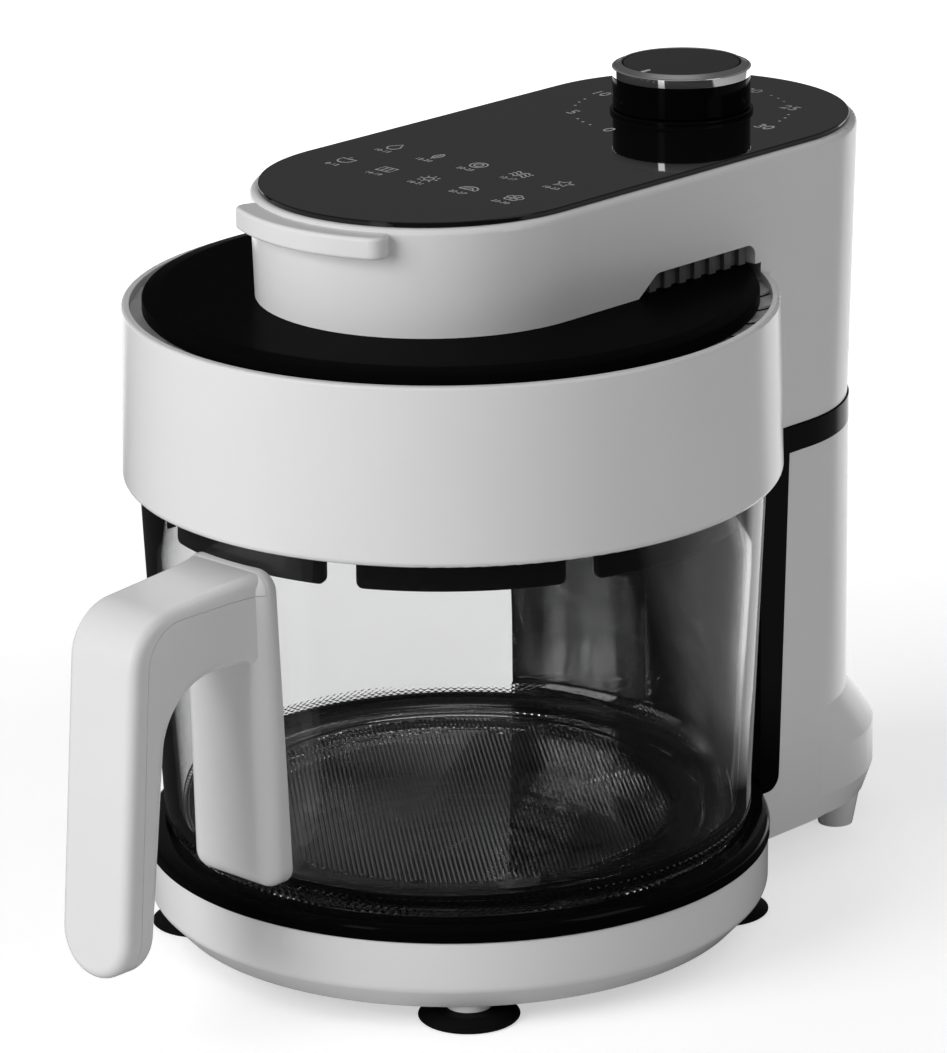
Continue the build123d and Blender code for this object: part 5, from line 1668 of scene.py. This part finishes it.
@dataclass
class GlassBowl(SubAssembly):
    """Pressed glass bowl with a diamond field on its floor and a knurled heel."""

    steps: int = 440
    floor_radius: float = 0.104
    top_radius: float = 0.110
    wall: float = 0.004
    heel_radius: float = 0.010
    floor_thickness: float = 0.006
    foot_ring: Point2 = (0.0880, 0.0895)
    foot_ring_height: float = 0.0007
    rim_radius: float = 0.0018
    wall_start: float = 0.12
    step_radii: Point2 = (0.0885, 0.0860)
    step_height: float = 0.0004
    field_radius: float = 0.0785
    field_pitch_x: float = 0.0026
    field_pitch_y: float = 0.0022
    field_relief: float = 0.00032
    knurl_low: float = 0.0022
    knurl_high: float = 0.0108
    knurl_rows: int = 10
    knurl_relief: float = 0.00028
    axis: Vector = field(default_factory=lambda: axis_of("glass_bowl"))

    def build(self) -> None:
        """Build the bowl as one closed mesh."""
        outer = self.outer_profile()
        inner = self.inner_profile()
        vertices, faces = self.turned(outer, inner)
        self.diamond_field(vertices, faces, inner[-1][1])
        bowl = mesh_object("bowl_glass", vertices, faces, 14.0)
        bowl.visible_shadow = False  # Cycles would let the clear wall shade the floor like a solid one
        self.add(bowl, Body.BOWL, Slot.CLEAR_GLASS, ["glass_bowl"])

    def wall_radius(self, height: float) -> float:
        """Give the outer radius of the conical wall.

        Args:
            height: Height at which it is taken.

        Returns:
            The radius.
        """
        low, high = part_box("glass_bowl")
        slope = (self.top_radius - self.floor_radius) / (high.z - low.z)
        return self.floor_radius + slope * (height - low.z)

    def outer_profile(self) -> list[Point2]:
        """Trace the outside from the middle of the floor up to the rim.

        Returns:
            Points as (radius, height), with close, even rows across the knurled heel.
        """
        low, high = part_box("glass_bowl")
        foot = rounded([
            Corner(0.0, low.z + self.foot_ring_height),
            Corner(self.foot_ring[0], low.z + self.foot_ring_height, 0.001),
            Corner(self.foot_ring[1], low.z, 0.001),
            Corner(self.floor_radius - self.heel_radius, low.z),
        ], steps=4, closed=False)
        heel = [
            (
                self.floor_radius - self.heel_radius + self.heel_radius * math.sin(angle),
                low.z + self.heel_radius - self.heel_radius * math.cos(angle),
            )
            for angle in (math.radians(9 * step) for step in range(1, 4))
        ]
        knurl = []
        for row in range(self.knurl_rows + 1):
            height = low.z + self.knurl_low + (self.knurl_high - self.knurl_low) * row / self.knurl_rows
            drop = max(0.0, low.z + self.heel_radius - height)
            knurl.append((
                self.wall_radius(height) - self.heel_radius + math.sqrt(self.heel_radius**2 - drop**2),
                height,
            ))
        start, end = high.z - self.wall_start, high.z - 0.02
        rim = rounded([
            Corner(self.wall_radius(start), start),
            Corner(self.wall_radius(high.z), high.z, self.rim_radius),
            Corner(self.wall_radius(high.z) - self.wall, high.z, self.rim_radius),
            Corner(self.wall_radius(end) - self.wall, end),
        ], closed=False)
        return foot[:-1] + heel[:2] + knurl + rim

    def inner_profile(self) -> list[Point2]:
        """Trace the inside from below the rim down to the edge of the diamond field.

        Returns:
            Points as (radius, height).
        """
        low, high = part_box("glass_bowl")
        floor, start = low.z + self.floor_thickness, high.z - 0.03
        raised = floor + self.step_height
        return rounded([
            Corner(self.wall_radius(start) - self.wall, start),
            Corner(self.wall_radius(floor) - self.wall, floor, self.heel_radius - 0.001),
            Corner(self.step_radii[0], floor, 0.002),
            Corner(self.step_radii[1], raised, 0.002),
            Corner(self.field_radius + 0.0022, raised, 0.001),
            Corner(self.field_radius + 0.0010, floor, 0.0006),
            Corner(self.field_radius, floor),
        ], steps=8, closed=False)

    def turned(self, outer: list[Point2], inner: list[Point2]) -> tuple[list[Point3], list[Face]]:
        """Turn the profiles, lifting every other point of the knurl.

        Args:
            outer: Outside from the axis to the rim.
            inner: Inside from the rim to the diamond field.

        Returns:
            Points and faces.
        """
        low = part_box("glass_bowl")[0].z
        profile = outer + inner
        rows = len(profile)
        slack = 1e-6
        knurled = [
            row
            for row, (_, height) in enumerate(outer)
            if low + self.knurl_low + slack < height < low + self.knurl_high - slack
            and outer[row][0] > self.floor_radius - self.heel_radius
        ]
        vertices: list[Point3] = []
        faces: list[Face] = []
        for step in range(self.steps):
            angle = math.tau * step / self.steps
            for row, (radius, height) in enumerate(profile):
                sunk = self.knurl_relief if row in knurled and (row + step) % 2 else 0.0
                vertices.append((
                    self.axis.x + (radius - sunk) * math.cos(angle),
                    self.axis.y + (radius - sunk) * math.sin(angle),
                    height,
                ))
            ahead = (step + 1) % self.steps
            for row in range(rows - 1):
                here, beside = step * rows + row, ahead * rows + row
                if row in knurled or row + 1 in knurled:
                    if (row + step) % 2 == 0:
                        faces += [(here, beside, beside + 1), (here, beside + 1, here + 1)]
                    else:
                        faces += [(here, beside, here + 1), (beside, beside + 1, here + 1)]
                else:
                    faces.append((here, beside, beside + 1, here + 1))
        return vertices, faces

    def diamond_field(self, vertices: list[Point3], faces: list[Face], level: float) -> None:
        """Close the inner floor with a field of low four-sided pyramids.

        Args:
            vertices: Points of the bowl, which grow.
            faces: Faces of the bowl, which grow.
            level: Height of the inner floor.
        """
        points: list[Vector] = []
        ring_edges = []
        for step in range(self.steps):
            angle = math.tau * step / self.steps
            points.append(Vector((math.cos(angle), math.sin(angle))) * self.field_radius)
            ring_edges.append((step, (step + 1) % self.steps))
        half_x, half_y = self.field_pitch_x / 2, self.field_pitch_y / 2
        margin, tolerance = 0.0008, 1e-8
        reach = self.field_radius - margin
        index_of: dict[tuple[int, int], int] = {}
        for i in range(-int(reach / half_x), int(reach / half_x) + 1):
            for j in range(-int(reach / half_y), int(reach / half_y) + 1):
                if math.hypot(i * half_x, j * half_y) < reach:
                    index_of[i, j] = len(points)
                    points.append(Vector((i * half_x, j * half_y)))
        grooves = []
        for (i, j), index in index_of.items():
            if (i + j) % 2 == 0:
                grooves += [
                    (index, index_of[i + 1, j + turn]) for turn in (-1, 1) if (i + 1, j + turn) in index_of
                ]
        flat, _, triangles, _, _, _ = delaunay_2d_cdt(points, ring_edges + grooves, [], 1, tolerance)
        raised = {index for (i, j), index in index_of.items() if (i + j) % 2}
        start = len(vertices)
        for index, point in enumerate(flat):
            lift = self.field_relief if index in raised else 0.0
            vertices.append((self.axis.x + point.x, self.axis.y + point.y, level + lift))
        faces += [tuple(start + index for index in triangle) for triangle in triangles]


@dataclass
class Handle(SubAssembly):
    """Handle of the bowl."""

    def build(self) -> None:
        """Dress the handle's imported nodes."""
        self.dress("handle_body", Slot.WHITE_SHELL)
        self.dress("handle_cover", Slot.WHITE_SHELL)
        self.dress("handle_screws", Slot.STEEL)


# Camera and studio


@dataclass(frozen=True)
class Viewpoint:
    """Camera at the viewing angle of the picture."""

    azimuth: float = math.radians(43.609)
    elevation: float = math.radians(17.854)
    roll: float = math.radians(-0.768)
    distance: float = 1.9795
    lens: float = 192.84
    aim_height: float = 0.150
    aim_right: float = 0.00681
    aim_up: float = -0.00332
    sensor_width: float = 36.0
    clip: Point2 = (0.05, 60.0)

    def build(self) -> None:
        """Place the camera and make it the scene's own."""
        level = math.cos(self.elevation)
        ahead = Vector((
            -math.sin(self.azimuth) * level,
            math.cos(self.azimuth) * level,
            -math.sin(self.elevation),
        ))
        right = Vector((math.cos(self.azimuth), math.sin(self.azimuth), 0.0))
        up = right.cross(ahead)
        target = axis_of("glass_bowl") + Vector((0, 0, self.aim_height))
        place = target + right * self.aim_right + up * self.aim_up - ahead * self.distance
        across = right * math.cos(self.roll) + up * math.sin(self.roll)
        upright = up * math.cos(self.roll) - right * math.sin(self.roll)
        camera = bpy.data.cameras.new("camera")
        camera.lens = self.lens
        camera.sensor_width = self.sensor_width
        camera.clip_start, camera.clip_end = self.clip
        obj = bpy.data.objects.new("camera", camera)
        bpy.context.scene.collection.objects.link(obj)
        turn = Matrix((across, upright, -ahead)).transposed()
        obj.matrix_world = Matrix.Translation(place) @ turn.to_4x4()
        bpy.context.scene.camera = obj


@dataclass(frozen=True)
class Softbox:
    """One soft lamp, which may light surfaces, show in reflections or do both."""

    name: str
    place: Point3
    width: float
    height: float
    power: float
    lights: bool = True
    mirrors: bool = True

    def build(self, target: Vector) -> None:
        """Place the lamp so that it faces a point.

        Args:
            target: Point that it faces.
        """
        light = bpy.data.lights.new(self.name, "AREA")
        light.shape = "RECTANGLE"
        light.size, light.size_y = self.width, self.height
        light.energy = self.power
        obj = bpy.data.objects.new(self.name, light)
        obj.location = self.place
        obj.rotation_euler = (target - Vector(self.place)).to_track_quat("-Z", "Y").to_euler()
        obj.visible_diffuse = self.lights
        obj.visible_glossy = self.mirrors
        bpy.context.scene.collection.objects.link(obj)


@dataclass(frozen=True)
class Studio:
    """Pale floor, white surroundings and soft light."""

    floor_reach: float = 9.0
    floor_colour: float = 0.80
    floor_roughness: float = 0.8
    floor_specular: float = 0.1
    glow: Point2 = (0.52, 1.0)
    glow_rise: Point2 = (0.25, 1.1)
    mirrored_colour: float = 0.06
    mirrored_glow: float = 1.0
    mirrored_rise: Point2 = (0.18, 0.26)
    mirrored_fade: Point2 = (0.04, 0.12)
    ambient: float = 0.26
    side_reflection: float = 0.05
    overhead_reflection: float = 0.15
    reflection_rise: Point2 = (0.05, 0.30)
    aim: Point3 = (0.0, 0.0, 0.14)
    lamps: tuple[Softbox, ...] = (
        Softbox("key_light", (-0.45, -2.2, 1.0), 1.5, 1.5, 39.0, mirrors=False),
        Softbox("sheen_light", (0.35, -2.3, 0.75), 0.45, 0.9, 2.4, lights=False),
        Softbox("fill_light", (2.0, 0.4, 1.4), 1.0, 1.2, 5.5),
        Softbox("top_light", (-0.3, 0.2, 2.3), 1.4, 1.4, 2.5),
    )

    def build(self) -> None:
        """Build the floor, the surroundings and the lamps."""
        bpy.context.scene.view_settings.view_transform = "Standard"
        self.floor()
        self.surroundings()
        for lamp in self.lamps:
            lamp.build(Vector(self.aim))

    def floor(self) -> None:
        """Lay the floor, which glows when looked at and is dim in reflections, save at the rear."""
        reach = self.floor_reach
        corners = [(-reach, -reach, 0.0), (reach, -reach, 0.0), (reach, reach, 0.0), (-reach, reach, 0.0)]
        mesh = bpy.data.meshes.new("studio_floor")
        mesh.from_pydata(corners, [], [(0, 1, 2, 3)])
        obj = bpy.data.objects.new("studio_floor", mesh)
        bpy.context.scene.collection.objects.link(obj)
        material = bpy.data.materials.new("studio_floor")
        material.use_nodes = True
        tree = material.node_tree
        shader = tree.nodes["Principled BSDF"]
        path = tree.nodes.new("ShaderNodeLightPath")
        position = tree.nodes.new("ShaderNodeNewGeometry").outputs["Position"]
        split = tree.nodes.new("ShaderNodeSeparateXYZ")
        tree.links.new(position, split.inputs[0])
        colour_there = mapped(
            tree, split.outputs["Y"], self.mirrored_rise, (self.mirrored_colour, self.floor_colour)
        )
        glow_there = mapped(tree, split.outputs["Y"], self.mirrored_rise, (0.0, self.mirrored_glow))
        beside = mapped(tree, split.outputs["X"], self.mirrored_fade, (1.0, 0.0))
        unscattered = is_zero(tree, path.outputs["Diffuse Depth"])
        reflected = math_node(tree, "GREATER_THAN", path.outputs["Glossy Depth"], 0.5)
        mirrored = math_node(tree, "MULTIPLY", unscattered, reflected)
        colour = choose(tree, mirrored, self.floor_colour, colour_there)
        tree.links.new(colour, shader.inputs["Base Color"])
        shader.inputs["Roughness"].default_value = self.floor_roughness
        shader.inputs["Specular IOR Level"].default_value = self.floor_specular
        shader.inputs["Emission Color"].default_value = (1, 1, 1, 1)
        distance = tree.nodes.new("ShaderNodeVectorMath")
        distance.operation = "LENGTH"
        tree.links.new(position, distance.inputs[0])
        seen_glow = mapped(tree, distance.outputs["Value"], self.glow_rise, self.glow)
        beside = math_node(tree, "MULTIPLY", mirrored, beside)
        mirrored_glow = math_node(tree, "MULTIPLY", beside, glow_there)
        strength = choose(tree, self.straight_view(tree, path), mirrored_glow, seen_glow)
        tree.links.new(strength, shader.inputs["Emission Strength"])
        mesh.materials.append(material)

    def straight_view(self, tree: bpy.types.NodeTree, path: bpy.types.Node) -> bpy.types.NodeSocket:
        """Give 1 for rays that come from the eye unreflected, also by way of clear glass.

        Args:
            tree: Tree that gets the nodes.
            path: Light Path node.

        Returns:
            The mask's socket.
        """
        looks = math_node(tree, "MAXIMUM", path.outputs["Is Camera Ray"], path.outputs["Is Transmission Ray"])
        bounces = math_node(tree, "ADD", path.outputs["Glossy Depth"], path.outputs["Diffuse Depth"])
        return math_node(tree, "MULTIPLY", looks, is_zero(tree, bounces))

    def surroundings(self) -> None:
        """Make the world white to the eye, softer as light and dim in reflections."""
        world = bpy.data.worlds.new("studio")
        bpy.context.scene.world = world
        world.use_nodes = True
        tree = world.node_tree
        background = tree.nodes["Background"]
        background.inputs["Color"].default_value = (1, 1, 1, 1)
        path = tree.nodes.new("ShaderNodeLightPath")
        split = tree.nodes.new("ShaderNodeSeparateXYZ")
        tree.links.new(tree.nodes.new("ShaderNodeTexCoord").outputs["Generated"], split.inputs[0])
        dim = mapped(
            tree, split.outputs["Z"], self.reflection_rise, (self.side_reflection, self.overhead_reflection)
        )
        unscattered = is_zero(tree, path.outputs["Diffuse Depth"])
        mirrored = math_node(tree, "MULTIPLY", path.outputs["Is Glossy Ray"], unscattered)
        light = choose(tree, mirrored, self.ambient, dim)
        strength = choose(tree, self.straight_view(tree, path), light, 1.0)
        tree.links.new(strength, background.inputs["Strength"])


def main() -> None:
    """Build every sub-assembly in order, from the camera to the handle."""
    logging.basicConfig(level=logging.INFO, format="%(name)s: %(message)s")
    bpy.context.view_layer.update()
    Viewpoint().build()
    Studio().build()
    paintbox = Paintbox()
    assemblies = (BaseUnit, Column, Head, ControlPanel, Knob, HotAirUnit, GlassBowl, Handle)
    for assembly in assemblies:
        log.info("building %s", assembly.__name__)
        assembly(paintbox).build()


if __name__ == "__main__":
    main()
